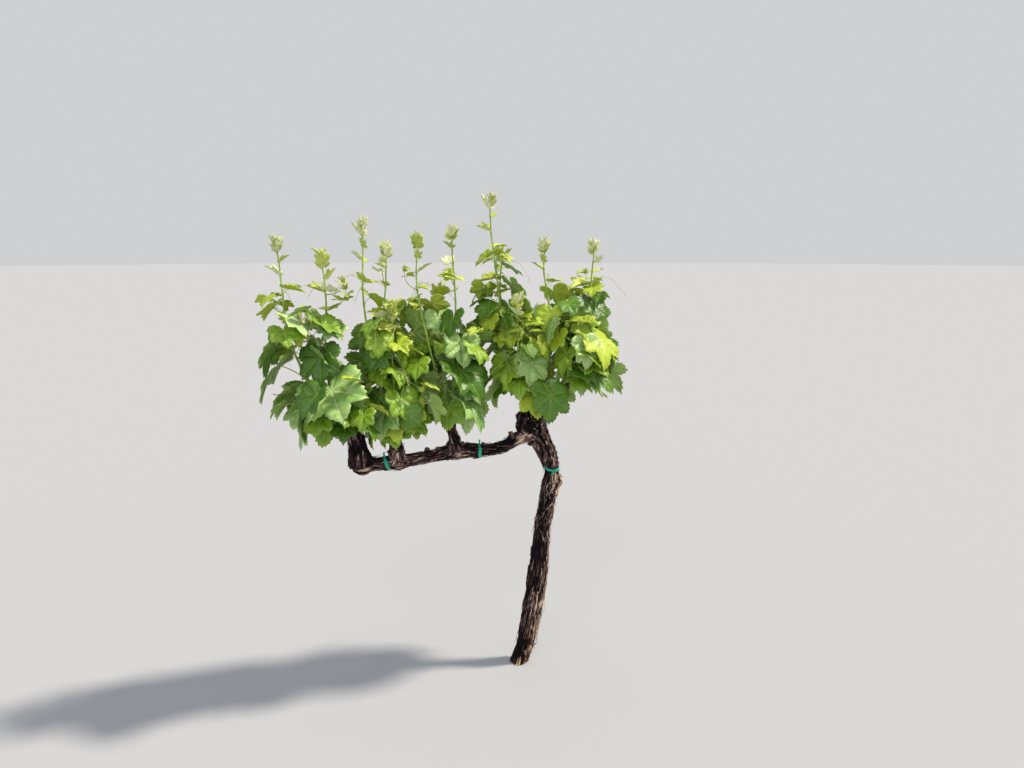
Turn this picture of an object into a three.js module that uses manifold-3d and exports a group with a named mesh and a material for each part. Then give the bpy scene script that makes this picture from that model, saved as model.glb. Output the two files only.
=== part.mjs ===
// A grapevine on one cordon, as it stands in a trellised row in spring: an old trunk that leans from the
// ground and turns back into a knobbly head, a thick arm along the row, short spurs, and green shoots with
// lobed leaves that rise from the spurs. Millimetres, +Z up. X runs along the row and the cordon lies
// towards -X, Y runs across the row. The origin is the centre of the flat cut under the trunk.
import * as THREE from "three";
import { mergeVertices } from "three/addons/utils/BufferGeometryUtils.js";
import Module from "manifold-3d";

const wasm = await Module();
wasm.setup();

// Driving dimensions
const HEAD_TOP = 925; // top of the head, above the ground
const CORDON_HEIGHT = 785; // axis of the arm along the row
const CORDON_LENGTH = 575; // from the foot of the trunk to the end of the arm
const TRUNK_LEAN = 120; // how far the knee stands off the foot, along the row
const TRUNK_RADIUS = 32; // of an even trunk, before its swellings
const CORDON_RADIUS = 22;
const GAP = 0.3; // between pieces that touch
const TRUNK_MESH = { sides: 12, rings: 26, level: true, flare: 0.24 };
const CORDON_MESH = { sides: 10, rings: 26 };
const FLARE_HEIGHT = 30; // over which the root flare fades
const TIE_WIDTH = 12;
const TIE_THICKNESS = 2.2;
const TIE_HEIGHT = 716; // of the tie round the trunk
const TIES_ALONG_CORDON = { tie_cordon_near: -142, tie_cordon_far: -461 };
const FORK_HEIGHT = 20; // from the cut end of a spur to where its shoots part
const SHOOT_RADII = [5.2, 2.2]; // at foot and tip
const SHOOT_SPREAD = 2.4; // how early a shoot spreads to its side
const SHOOT_SWAY = 7;
const LEAF_REACH = 122; // from the leaf stalk to the tip of a full-grown blade
const LEAF_THICKNESS = 4.2; // near the end of the stalk, from where a blade thins out to its rim
const LEAST_THICKNESS = 1.8;
const STALK_RADII = [2.4, 1.5]; // where it leaves the shoot and where it meets a full-grown blade
const LEFT_END = -905; // the furthest that leaves reach along the row, each way
const RIGHT_END = 402;
const HALF_DEPTH = 285; // the furthest that leaves reach to the front and back
const LEAF_FLOOR = 690; // no leaf hangs lower
const LEAF_CEILING = 1645;
const LEAF_CLEARANCE = 0.085; // from other leaves, as a share of the leaf's own reach
const LIMB_CLEARANCE = 5;
const TRIES = 24; // at a leaf, before it is left out

// A limb is a list of stations: x, y, z and radius. The trunk's heights and leans are shares of its sizes.
const TRUNK = [
  [0.0, 0.0, 0.0, 0.88],
  [0.28, 0.02, 0.12, 1.0],
  [0.55, -0.05, 0.335, 1.08],
  [0.76, 0.03, 0.55, 0.9],
  [0.92, 0.0, 0.68, 1.0],
  [1.0, 0.02, 0.75, 0.86],
  [0.91, 0.04, 0.81, 1.04],
  [0.72, 0.0, 0.865, 1.15],
  [0.42, -0.03, 0.925, 1.42],
  [0.28, 0.0, 0.97, 1.25],
  [0.26, 0.02, 1.0, 0.78],
].map(([lean, sway, rise, girth]) => [
  lean * TRUNK_LEAN,
  sway * TRUNK_LEAN,
  rise * HEAD_TOP,
  girth * TRUNK_RADIUS,
]);
// The cordon leaves the head inside it, dips, and swells under each spur.
const CORDON = [
  [0.07, 0.0, 60, 1.25],
  [-0.02, -0.01, 43, 1.05],
  [-0.11, -0.02, 22, 0.96],
  [-0.2, -0.01, 12, 0.92],
  [-0.33, 0.015, 14, 1.12],
  [-0.42, 0.02, 10, 1.1],
  [-0.54, 0.0, 3, 0.86],
  [-0.64, -0.015, -1, 0.94],
  [-0.75, -0.01, -5, 1.16],
  [-0.87, 0.01, -7, 1.1],
  [-0.96, 0.01, -8, 1.24],
  [-1.0, 0.01, -9, 0.95],
].map(([share, sway, rise, girth]) => [
  share * CORDON_LENGTH,
  sway * CORDON_LENGTH,
  CORDON_HEIGHT + rise,
  girth * CORDON_RADIUS,
]);
// The arm and the spurs: each starts inside the limb that bears it and ends in a flat cut.
const BRANCHES = {
  arm_right: [
    [50, 2, 893, 25],
    [88, 6, 922, 19],
    [128, 4, 946, 16],
    [156, -2, 972, 14],
    [168, -4, 992, 12],
  ],
  spur_head: [
    [34, 0, 900, 22],
    [30, 2, 930, 16],
    [24, 4, 957, 12.5],
    [20, 4, 976, 11],
  ],
  spur_near: [
    [-228, 8, 798, 22],
    [-231, 4, 836, 18],
    [-240, -2, 876, 13],
    [-238, -4, 912, 11],
  ],
  spur_mid: [
    [-426, -6, 778, 25],
    [-431, -8, 824, 23],
    [-438, -4, 852, 17],
    [-441, 0, 876, 12.5],
  ],
  spur_end: [
    [-548, 4, 775, 32],
    [-552, 2, 818, 34],
    [-560, 0, 858, 29],
    [-580, -4, 890, 21],
    [-606, -8, 908, 14],
    [-622, -10, 921, 11.5],
  ],
};
// Old pruning wounds stand out of the head as knobs: place and radius.
const KNOBS = [
  [10, -16, 874, 27],
  [70, -14, 884, 24],
  [34, 26, 868, 28],
  [24, -22, 905, 19],
];

// Each mass grows from one spur. A shoot is named by where its tip stands, and by its number of leaves.
const MASSES = {
  shoots_end: {
    spur: "spur_end",
    seed: 11,
    tips: [
      [-785, -30, 1490, 14],
      [-650, -25, 1440, 13],
      [-725, 65, 1240, 9],
    ],
  },
  shoots_mid: {
    spur: "spur_mid",
    seed: 23,
    tips: [
      [-530, -20, 1545, 14],
      [-450, 40, 1470, 13],
      [-445, -65, 1280, 9],
    ],
  },
  shoots_near: {
    spur: "spur_near",
    seed: 37,
    tips: [
      [-352, -15, 1500, 14],
      [-222, 15, 1530, 14],
      [-265, 70, 1320, 10],
    ],
  },
  shoots_head: {
    spur: "spur_head",
    seed: 41,
    tips: [
      [-100, -15, 1630, 15],
      [-50, 50, 1450, 13],
      [-30, -60, 1290, 10],
    ],
  },
  shoots_arm: {
    spur: "arm_right",
    seed: 59,
    tips: [
      [88, -15, 1480, 14],
      [262, -10, 1475, 14],
      [205, 60, 1310, 10],
    ],
  },
};
// The walls between the masses: place along the row at the height of the head, lean, and where their wave
// up starts. The wave across makes neighbours lap past each other: each mass stands further right in front.
const WALLS = [
  [-560, -0.06, 0.9],
  [-340, -0.11, 2.6],
  [-108, -0.09, 4.4],
  [92, -0.12, 0.4],
];
const WAVE_UP = { depth: 20, length: 250 };
const WAVE_ACROSS = { depth: 62, length: 500 };
const WALL_MARGIN = 4;

// A blade's outline from its tip round to the notch at the stalk, as degrees off the midrib and reach.
const FULL_BLADE = [
  [0, 1],
  [14, 0.84],
  [27, 0.7],
  [49, 0.91],
  [77, 0.66],
  [103, 0.76],
  [150, 0.58],
  [173, 0.22],
];
const YOUNG_BLADE = [0, 2, 3, 4, 5, 6].map((i) => FULL_BLADE[i]);
const BUD_BLADE = [
  [0, 1],
  [48, 0.74],
  [140, 0.45],
];
const BLADE_MIDDLE = 0.2; // where a blade is thickest, as a share of its reach
const YOUNG_SHARE = 0.66; // of the full reach: smaller blades take the simpler outlines
const BUD_SHARE = 0.36;
const TEST_RINGS = [0.35, 0.68, 1]; // of the outline, where a blade is tested against its neighbours

// What a leaf may do, as ranges. Angles are in radians. A young leaf is one near the tip of its shoot.
const LEAF_RULE = {
  size: [0.86, 1.12], // of the share that its place on the shoot gives
  facing: [-1, 1], // off the shoot's own plane
  rise: [-0.15, 0.65], // of the stalk
  stalk: [0.62, 0.9], // its length, as a share of the reach
  droop: [0.35, 1.25],
  youngDroop: [-1.1, -0.4],
  heading: [-0.5, 0.5], // of the blade, off its stalk
  roll: [-0.45, 0.45],
  fold: [-0.16, 0.26],
  curl: [0.08, 0.42],
};
const YOUNG = { from: 0.5, over: 0.4, rise: 0.5, stalk: 0.6, fold: 0.5 };
const SMALLER_EACH_TRY = 0.015;
// Clusters hang across from a leaf low on a shoot, tendrils higher up. Radii run from the shoot outwards.
const CLUSTER = {
  nodes: [4],
  length: [70, 95],
  rise: 0.1,
  clearance: 13,
  radii: [1.6, 1.8, 12, 8, 3],
  sides: 4,
};
const TENDRIL = {
  nodes: [6, 9],
  length: [90, 140],
  rise: 0.7,
  clearance: 7,
  radii: [1.5, 1.4, 1.3, 1.1, 0.9],
  sides: 3,
};
const TRAIL_SHARES = [0, 0.2, 0.45, 0.72, 1];
const TRAIL_RULE = { turn: [-0.6, 0.6], bend: [-1.2, 1.2], slope: [-0.3, 0.3], sag: 0.9 };
const SHOOT_PLANE = [-1.3, 1.3]; // the plane of a shoot's leaves, off the line across the row

const TAU = Math.PI * 2;
const UP = new THREE.Vector3(0, 0, 1);
const point = ([x, y, z]) => new THREE.Vector3(x, y, z);
const mix = (a, b, t) => a + (b - a) * t;
const within = ([low, high], draw) => mix(low, high, draw());

// A repeatable stream of numbers from 0 to 1.
function seeded(seed) {
  let state = seed;
  return () => {
    state = (state + 0x6d2b79f5) | 0;
    let t = Math.imul(state ^ (state >>> 15), state | 1);
    t ^= t + Math.imul(t ^ (t >>> 7), t | 61);
    return ((t ^ (t >>> 14)) >>> 0) / 4294967296;
  };
}

// A closed geometry as a solid.
function solid(geometry) {
  const bare = new THREE.BufferGeometry();
  bare.setAttribute("position", geometry.getAttribute("position"));
  bare.setIndex(geometry.index);
  const merged = mergeVertices(bare, 1e-4);
  return new wasm.Manifold(
    new wasm.Mesh({
      numProp: 3,
      vertProperties: merged.attributes.position.array,
      triVerts: new Uint32Array(merged.index.array),
    }),
  );
}

// Centre and radius along a limb, for t from 0 to 1.
function limbLine(stations) {
  const curve = new THREE.CatmullRomCurve3(stations.map(point), false, "centripetal");
  const radiusAt = (t) => {
    const s = t * (stations.length - 1);
    const i = Math.min(Math.floor(s), stations.length - 2);
    const f = s - i;
    return mix(stations[i][3], stations[i + 1][3], f * f * (3 - 2 * f));
  };
  return { curve, radiusAt };
}

// A limb is a cylinder bent along its line. Its section is uneven, as old wood is. A level limb keeps its
// rings horizontal, so that its foot is a flat cut on the ground.
function limb(stations, { sides = 12, rings = 12, level = false, flare = 0, grow = 0 } = {}) {
  const { curve, radiusAt } = limbLine(stations);
  const geometry = new THREE.CylinderGeometry(1, 1, 1, sides, rings);
  const position = geometry.getAttribute("position");
  const frames = curve.computeFrenetFrames(rings);
  const v = new THREE.Vector3();
  for (let i = 0; i < position.count; i++) {
    v.fromBufferAttribute(position, i);
    const ring = Math.round((v.y + 0.5) * rings);
    const t = ring / rings;
    const across = level ? new THREE.Vector3(1, 0, 0) : frames.normals[ring];
    const aside = level ? new THREE.Vector3(0, -1, 0) : frames.binormals[ring].clone().negate();
    const turn = Math.atan2(v.z, v.x);
    const uneven = 0.06 * Math.sin(2 * turn + 9 * t) + 0.05 * Math.sin(3 * turn - 14 * t + 1);
    const centre = curve.getPoint(t);
    const root = flare * Math.exp(-centre.z / FLARE_HEIGHT) * (0.6 + 0.4 * Math.cos(3 * turn + 0.7));
    const reach = Math.hypot(v.x, v.z) * (radiusAt(t) * (1 + uneven + root) + grow);
    centre.addScaledVector(across, reach * Math.cos(turn));
    centre.addScaledVector(aside, reach * Math.sin(turn));
    position.setXYZ(i, centre.x, centre.y, level && ring === 0 ? stations[0][2] : centre.z);
  }
  return solid(geometry);
}

function trunkSolid(grow = 0) {
  const stem = limb(TRUNK, { ...TRUNK_MESH, grow });
  return KNOBS.reduce((wood, [x, y, z, radius]) => {
    const knob = new THREE.IcosahedronGeometry(radius + grow, 1);
    return wood.add(solid(knob.translate(x, y, z)));
  }, stem);
}

function cordonSolid(grow = 0) {
  return limb(CORDON, { ...CORDON_MESH, grow });
}

// A band cut from the wood's own outline, so that it lies close round it. The box is centre and size.
function tieSolid(woodAt, centre, size) {
  const band = new THREE.BoxGeometry(...size).translate(...centre);
  return woodAt(GAP + TIE_THICKNESS).subtract(woodAt(GAP)).intersect(solid(band));
}

// Spheres along every limb, which leaves keep clear of.
function limbSpheres() {
  const lines = [TRUNK, CORDON, ...Object.values(BRANCHES)];
  const steps = 40;
  return lines.flatMap((stations) => {
    const { curve, radiusAt } = limbLine(stations);
    return Array.from({ length: steps + 1 }, (_, i) => ({
      centre: curve.getPoint(i / steps),
      radius: radiusAt(i / steps) * 1.1,
    }));
  });
}

function wallAt(index, p) {
  const [place, lean, start] = WALLS[index];
  const up = WAVE_UP.depth * Math.sin((TAU * p.z) / WAVE_UP.length + start);
  const across = WAVE_ACROSS.depth * Math.sin((TAU * p.y) / WAVE_ACROSS.length);
  return place + lean * (p.z - HEAD_TOP) + up - across;
}

function insideSpace(index, p) {
  const left = index === 0 ? LEFT_END : wallAt(index - 1, p);
  const right = index === WALLS.length ? RIGHT_END : wallAt(index, p);
  return (
    p.x > left + WALL_MARGIN &&
    p.x < right - WALL_MARGIN &&
    Math.abs(p.y) < HALF_DEPTH &&
    p.z > LEAF_FLOOR &&
    p.z < LEAF_CEILING
  );
}

// A shoot leaves its spur slanting and then rises along the wires.
function shootAt(fork, tip, t) {
  const spread = 1 - (1 - t) ** SHOOT_SPREAD;
  return new THREE.Vector3(
    mix(fork.x, tip.x, spread) + SHOOT_SWAY * Math.sin(TAU * 1.4 * t + tip.z) * t,
    mix(fork.y, tip.y, spread) + SHOOT_SWAY * Math.cos(TAU * 1.2 * t + tip.x) * t,
    mix(fork.z, tip.z, t),
  );
}

// Where the leaves stand along a shoot: close at its foot, wide in the middle and close again at the tip.
function nodesAlong(count) {
  const middles = Array.from({ length: count }, (_, i) => (i + 0.5) / count);
  const steps = middles.map((u) => 0.35 + Math.sin(Math.PI * u ** 1.4));
  const total = steps.reduce((sum, step) => sum + step, 0);
  let along = 0;
  return steps.map((step) => (along += step) / total);
}

// How much of the full reach a blade has, by its place on the shoot.
function bladeShare(t) {
  if (t < 0.14) return mix(0.76, 1, t / 0.14);
  if (t < 0.3) return 1;
  return mix(1, 0.16, ((t - 0.3) / 0.7) ** 0.85);
}

// A point of a blade: degrees off the midrib and reach. Its fold along the midrib and its curl bend it.
function bladePoint(leaf, degrees, reach) {
  const angle = THREE.MathUtils.degToRad(degrees);
  const along = reach * Math.cos(angle);
  const aside = reach * Math.sin(angle);
  const lift = leaf.fold * Math.abs(aside) - leaf.curl * Math.max(along, 0) ** 2;
  return leaf.joint
    .clone()
    .addScaledVector(leaf.midrib, along * leaf.reach)
    .addScaledVector(leaf.side, aside * leaf.reach)
    .addScaledVector(leaf.normal, lift * leaf.reach);
}

// One try at a leaf: a stalk out of the shoot, and a blade that hangs from its end and faces the light.
// Later tries are smaller.
function tryLeaf(node, t, shootSide, attempt, draw) {
  const share = bladeShare(t) * within(LEAF_RULE.size, draw) * (1 - SMALLER_EACH_TRY * attempt);
  const reach = LEAF_REACH * share;
  const young = Math.min(1, Math.max(0, (t - YOUNG.from) / YOUNG.over));
  const facing = shootSide + within(LEAF_RULE.facing, draw);
  const outward = new THREE.Vector3(Math.cos(facing), Math.sin(facing), 0);
  const rise = within(LEAF_RULE.rise, draw) + YOUNG.rise * young;
  const stalk = reach * within(LEAF_RULE.stalk, draw) * mix(1, YOUNG.stalk, young);
  const joint = node
    .clone()
    .addScaledVector(outward, stalk * Math.cos(rise))
    .addScaledVector(UP, stalk * Math.sin(rise));
  const droop = mix(within(LEAF_RULE.droop, draw), within(LEAF_RULE.youngDroop, draw), young);
  const heading = facing + within(LEAF_RULE.heading, draw);
  const ahead = new THREE.Vector3(Math.cos(heading), Math.sin(heading), 0);
  const midrib = ahead.clone().multiplyScalar(Math.cos(droop)).addScaledVector(UP, -Math.sin(droop));
  const upright = ahead.clone().multiplyScalar(Math.sin(droop)).addScaledVector(UP, Math.cos(droop));
  const level = new THREE.Vector3().crossVectors(upright, midrib);
  const roll = within(LEAF_RULE.roll, draw);
  const normal = upright.clone().multiplyScalar(Math.cos(roll)).addScaledVector(level, Math.sin(roll));
  const side = new THREE.Vector3().crossVectors(normal, midrib);
  const fold = within(LEAF_RULE.fold, draw) + YOUNG.fold * young;
  const curl = within(LEAF_RULE.curl, draw) * (1 - young);
  const leaf = { node, joint, midrib, side, normal, reach, fold, curl, share };
  return { ...leaf, points: leafPoints(leaf), clearance: Math.max(2.5, LEAF_CLEARANCE * reach) };
}

// Points that stand for a leaf in the tests: its stalk, its joint, and rings over its blade.
function leafPoints(leaf) {
  const blade = TEST_RINGS.flatMap((ring) =>
    FULL_BLADE.flatMap(([degrees, reach]) => [
      bladePoint(leaf, degrees, reach * ring),
      bladePoint(leaf, -degrees, reach * ring),
    ]),
  );
  return [leaf.node.clone().lerp(leaf.joint, 0.6), leaf.joint, ...blade];
}

// Points already taken, in a grid of cells so that only near ones are compared.
const CELL = 16;
const taken = new Map();
const cellOf = (value) => Math.floor(value / CELL);

function take(points) {
  for (const p of points) {
    const key = [p.x, p.y, p.z].map(cellOf).join();
    taken.set(key, [...(taken.get(key) ?? []), p]);
  }
}

function isFree(p, clearance) {
  const [x, y, z] = [p.x, p.y, p.z].map(cellOf);
  for (let i = 0; i < 27; i++) {
    const key = [x + (i % 3) - 1, y + (Math.floor(i / 3) % 3) - 1, z + Math.floor(i / 9) - 1].join();
    if ((taken.get(key) ?? []).some((q) => p.distanceTo(q) < clearance)) return false;
  }
  return true;
}

function fits(points, clearance, mass, limbs) {
  return (
    points.every((p) => insideSpace(mass, p)) &&
    points.every((p) => isFree(p, clearance)) &&
    points.every((p) => limbs.every((s) => p.distanceTo(s.centre) > s.radius + LIMB_CLEARANCE))
  );
}

// Tries a growth until one stands free. One that fits nowhere in its tries is skipped.
function place(attempt, mass, limbs) {
  for (let i = 0; i < TRIES; i++) {
    const growth = attempt(i);
    if (!fits(growth.points, growth.clearance, mass, limbs)) continue;
    take(growth.points);
    return [growth];
  }
  return [];
}

// One try at a tendril or a flower cluster, as points from the shoot outwards.
function tryTrail(node, heading, kind, draw) {
  const length = within(kind.length, draw);
  const turn = heading + within(TRAIL_RULE.turn, draw);
  const bend = within(TRAIL_RULE.bend, draw);
  const slope = kind.rise + within(TRAIL_RULE.slope, draw);
  const trail = TRAIL_SHARES.map((share) => {
    const aside = turn + bend * share;
    const lift = slope - TRAIL_RULE.sag * share * share;
    return new THREE.Vector3(
      node.x + length * share * Math.cos(aside) * Math.cos(lift),
      node.y + length * share * Math.sin(aside) * Math.cos(lift),
      node.z + length * share * Math.sin(lift),
    );
  });
  return { trail, points: trail.slice(2), clearance: kind.clearance };
}

// What one shoot bears, by the seeded rule: a leaf at each node, and across from some of the leaves a
// flower cluster low down or a tendril higher up.
function growShoot(fork, tip, count, mass, limbs, draw) {
  const plane = Math.PI / 2 + within(SHOOT_PLANE, draw);
  const grown = { leaves: [], clusters: [], tendrils: [] };
  nodesAlong(count).forEach((t, number) => {
    const node = shootAt(fork, tip, t);
    const facing = plane + (number % 2) * Math.PI;
    const across = facing + Math.PI;
    grown.leaves.push(...place((i) => tryLeaf(node, t, facing, i, draw), mass, limbs));
    if (CLUSTER.nodes.includes(number)) {
      grown.clusters.push(...place(() => tryTrail(node, across, CLUSTER, draw), mass, limbs));
    }
    if (TENDRIL.nodes.includes(number)) {
      grown.tendrils.push(...place(() => tryTrail(node, across, TENDRIL, draw), mass, limbs));
    }
  });
  return grown;
}

// A leaf as one thin solid. Its blade is two fans from a middle on the midrib, which meet along the rim,
// and its three-sided stalk runs on from the rim into the shoot.
function leafSolid(leaf) {
  const half = leaf.share > YOUNG_SHARE ? FULL_BLADE : leaf.share > BUD_SHARE ? YOUNG_BLADE : BUD_BLADE;
  const right = half.map(([degrees, reach]) => bladePoint(leaf, degrees, reach));
  const left = half.slice(1).map(([degrees, reach]) => bladePoint(leaf, -degrees, reach));
  const depth = Math.max(LEAF_THICKNESS * leaf.share, LEAST_THICKNESS) / 2;
  const middle = bladePoint(leaf, 0, BLADE_MIDDLE);
  const girth = Math.max(leaf.share, 0.5);
  const ring = (centre, radius) => [
    centre.clone().addScaledVector(leaf.side, -radius),
    centre.clone().addScaledVector(leaf.side, radius),
    centre.clone().addScaledVector(leaf.normal, -1.2 * radius),
  ];
  const corners = [
    middle.clone().addScaledVector(leaf.normal, depth),
    middle.clone().addScaledVector(leaf.normal, -depth),
    ...ring(leaf.node, STALK_RADII[0] * girth),
    ...ring(leaf.joint, STALK_RADII[1] * girth),
    ...left.reverse(),
    ...right,
  ];
  // The stalk's end and sides, then the two faces round the rim from one side of the stalk to the other.
  const [top, under, startLeft, startRight, startLow, endLeft, endRight, endLow] = [0, 1, 2, 3, 4, 5, 6, 7];
  const rim = [endLeft, ...Array.from({ length: corners.length - 8 }, (_, i) => i + 8), endRight];
  const index = [startLeft, startRight, startLow];
  for (const [a, b, c, d] of [
    [endLeft, endRight, startRight, startLeft],
    [endRight, endLow, startLow, startRight],
    [endLow, endLeft, startLeft, startLow],
  ]) {
    index.push(a, b, c, a, c, d);
  }
  index.push(top, endRight, endLeft, under, endLeft, endLow, under, endLow, endRight);
  for (let i = 1; i < rim.length; i++) {
    index.push(top, rim[i - 1], rim[i], under, rim[i], rim[i - 1]);
  }
  const geometry = new THREE.BufferGeometry().setFromPoints(corners);
  geometry.setIndex(index);
  return solid(geometry);
}

function trailSolid({ trail }, { radii, sides }) {
  return limb(
    trail.map((p, i) => [...p.toArray(), radii[i]]),
    { sides, rings: trail.length - 1 },
  );
}

function shootSolid(fork, tip) {
  const stations = Array.from({ length: 9 }, (_, i) => [
    ...shootAt(fork, tip, i / 8).toArray(),
    mix(SHOOT_RADII[0], SHOOT_RADII[1], i / 8),
  ]);
  return limb(stations, { sides: 3, rings: 8 });
}

// The young wood that stands on the cut end of a spur and bears the shoots.
function collarSolid({ end, way, radius, fork }) {
  const start = end.clone().addScaledVector(way, GAP);
  const top = fork.clone().addScaledVector(way, radius / 2);
  const length = start.distanceTo(top);
  const geometry = new THREE.CylinderGeometry(radius * 0.6, radius * 0.86, length, 7, 1);
  geometry.applyQuaternion(new THREE.Quaternion().setFromUnitVectors(new THREE.Vector3(0, 1, 0), way));
  const middle = start.lerp(top, 0.5);
  return solid(geometry.translate(middle.x, middle.y, middle.z));
}

// One solid from pieces that run into each other. Loose scraps go, and sealed hollows are filled.
function fuse(pieces) {
  const whole = wasm.Manifold.union(pieces);
  return whole.decompose().reduce((a, b) => (b.volume() > a.volume() ? b : a));
}

// Where the shoots of a mass part, a little above the cut end of its spur.
function forkOf(name) {
  const { curve, radiusAt } = limbLine(BRANCHES[MASSES[name].spur]);
  const end = curve.getPoint(1);
  const way = curve.getTangent(1);
  return { end, way, radius: radiusAt(1), fork: end.clone().addScaledVector(way, FORK_HEIGHT) };
}

function massSolid(name, index, limbs) {
  const { seed, tips } = MASSES[name];
  const { fork } = forkOf(name);
  const pieces = [collarSolid(forkOf(name))];
  tips.forEach(([x, y, z, count], number) => {
    const tip = new THREE.Vector3(x, y, z);
    const draw = seeded(seed * 100 + number);
    pieces.push(shootSolid(fork, tip));
    const { leaves, clusters, tendrils } = growShoot(fork, tip, count, index, limbs, draw);
    pieces.push(...leaves.map(leafSolid));
    pieces.push(...clusters.map((cluster) => trailSolid(cluster, CLUSTER)));
    pieces.push(...tendrils.map((tendril) => trailSolid(tendril, TENDRIL)));
  });
  return fuse(pieces);
}

const bark = new THREE.MeshStandardMaterial({ color: 0x5b4c40, roughness: 0.95, metalness: 0 });
const leafGreen = new THREE.MeshStandardMaterial({ color: 0x7da23a, roughness: 0.55, metalness: 0 });
const tieGreen = new THREE.MeshStandardMaterial({ color: 0x1ea98a, roughness: 0.45, metalness: 0 });

const vine = new THREE.Group();

// A named mesh with its own origin, which the solid's corners are measured from.
function addPiece(name, wood, origin, material) {
  const { vertProperties, triVerts, numProp } = wood.getMesh();
  const corners = Array.from(vertProperties).filter((_, i) => i % numProp < 3);
  const geometry = new THREE.BufferGeometry();
  geometry.setAttribute("position", new THREE.Float32BufferAttribute(corners, 3));
  geometry.setIndex(Array.from(triVerts));
  geometry.translate(-origin.x, -origin.y, -origin.z);
  geometry.computeVertexNormals();
  const mesh = new THREE.Mesh(geometry, material);
  mesh.name = name;
  mesh.position.copy(origin);
  vine.add(mesh);
}

addPiece("trunk", trunkSolid(), point(TRUNK[0]), bark);
addPiece("cordon", cordonSolid().subtract(trunkSolid(GAP)), point(CORDON[0]), bark);

for (const [name, stations] of Object.entries(BRANCHES)) {
  const bearer = stations[0][0] > -50 ? trunkSolid(GAP) : cordonSolid(GAP);
  const wood = limb(stations, { sides: 8, rings: 2 * stations.length - 2 }).subtract(bearer);
  addPiece(name, fuse([wood]), point(stations[0]), bark);
}

const trunkTie = [TRUNK_LEAN, 0, TIE_HEIGHT];
addPiece("tie_trunk", tieSolid(trunkSolid, trunkTie, [120, 120, TIE_WIDTH]), point(trunkTie), tieGreen);
for (const [name, x] of Object.entries(TIES_ALONG_CORDON)) {
  const centre = [x, 0, CORDON_HEIGHT];
  addPiece(name, tieSolid(cordonSolid, centre, [TIE_WIDTH, 120, 120]), point(centre), tieGreen);
}

// Leaves keep clear of every shoot, so the shoots are taken first.
for (const [name, { tips }] of Object.entries(MASSES)) {
  const { fork } = forkOf(name);
  tips.forEach(([x, y, z]) => {
    const tip = new THREE.Vector3(x, y, z);
    take(Array.from({ length: 61 }, (_, i) => shootAt(fork, tip, i / 60)));
  });
}
const limbs = limbSpheres();
Object.keys(MASSES).forEach((name, index) => {
  addPiece(name, massSolid(name, index, limbs), forkOf(name).end, leafGreen);
});

export default vine;
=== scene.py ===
import itertools
import math
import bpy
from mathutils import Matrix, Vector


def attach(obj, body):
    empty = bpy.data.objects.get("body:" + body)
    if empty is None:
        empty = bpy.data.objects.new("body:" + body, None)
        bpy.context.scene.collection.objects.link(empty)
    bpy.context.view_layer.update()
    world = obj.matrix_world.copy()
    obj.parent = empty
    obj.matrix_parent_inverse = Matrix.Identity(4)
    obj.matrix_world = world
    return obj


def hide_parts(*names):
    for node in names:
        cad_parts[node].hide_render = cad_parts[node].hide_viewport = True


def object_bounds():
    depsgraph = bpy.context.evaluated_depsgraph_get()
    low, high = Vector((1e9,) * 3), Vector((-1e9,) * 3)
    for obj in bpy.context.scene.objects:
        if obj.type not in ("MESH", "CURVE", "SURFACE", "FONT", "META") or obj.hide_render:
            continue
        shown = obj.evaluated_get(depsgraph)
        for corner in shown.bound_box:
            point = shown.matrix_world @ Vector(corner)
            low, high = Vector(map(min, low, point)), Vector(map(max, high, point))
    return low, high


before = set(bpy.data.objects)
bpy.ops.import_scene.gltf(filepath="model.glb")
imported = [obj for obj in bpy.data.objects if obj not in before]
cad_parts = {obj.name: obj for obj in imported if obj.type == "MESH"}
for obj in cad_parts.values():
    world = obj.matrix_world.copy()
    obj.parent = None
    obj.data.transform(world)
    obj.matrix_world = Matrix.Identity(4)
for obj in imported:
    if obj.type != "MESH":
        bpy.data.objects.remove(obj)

from types import SimpleNamespace

import bpy
import numpy as np

# The looks of a spur-pruned grapevine: shaggy old wood, green shoots with lobed leaves, tendrils, flower
# clusters and the plastic ties that hold its trunk and arm. Growth is worked out in millimetres, +Z up.
CAD_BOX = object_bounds()
MM = 0.001
TAU = 2 * math.pi
UP = np.array([0.0, 0.0, 1.0])

# The plant's driving dimensions, as in its source
HEAD_TOP = 925
CORDON_HEIGHT = 785
CORDON_LENGTH = 575
TRUNK_LEAN = 120
TRUNK_RADIUS = 32
CORDON_RADIUS = 22
FLARE = 0.24  # how much wider the trunk stands at its foot
FLARE_HEIGHT = 30
TIE_WIDTH = 12
TIE_HEIGHT = 716
TIES_ALONG_CORDON = {"tie_cordon_near": -142, "tie_cordon_far": -461}
FORK_HEIGHT = 20  # from a spur's cut end to where its shoots part
SHOOT_RADII = (5.2, 2.2)
SHOOT_SPREAD = 2.4  # the higher, the sooner a shoot stands upright
SHOOT_SWAY = 7
SWAY_TURNS = (1.4, 1.2)
LEAF_REACH = 122  # from the stalk to the tip of a full-grown leaf
LEFT_END = -905  # of the space for leaves
RIGHT_END = 402
HALF_DEPTH = 285
LEAF_FLOOR = 690
LEAF_CEILING = 1645
LEAF_CLEARANCE = 0.085  # as a share of the reach
LEAST_CLEARANCE = 2.5
LIMB_CLEARANCE = 5
LIMB_ALLOWANCE = 1.1  # how far past its own radius a limb keeps leaves off
TRIES = 24

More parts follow.
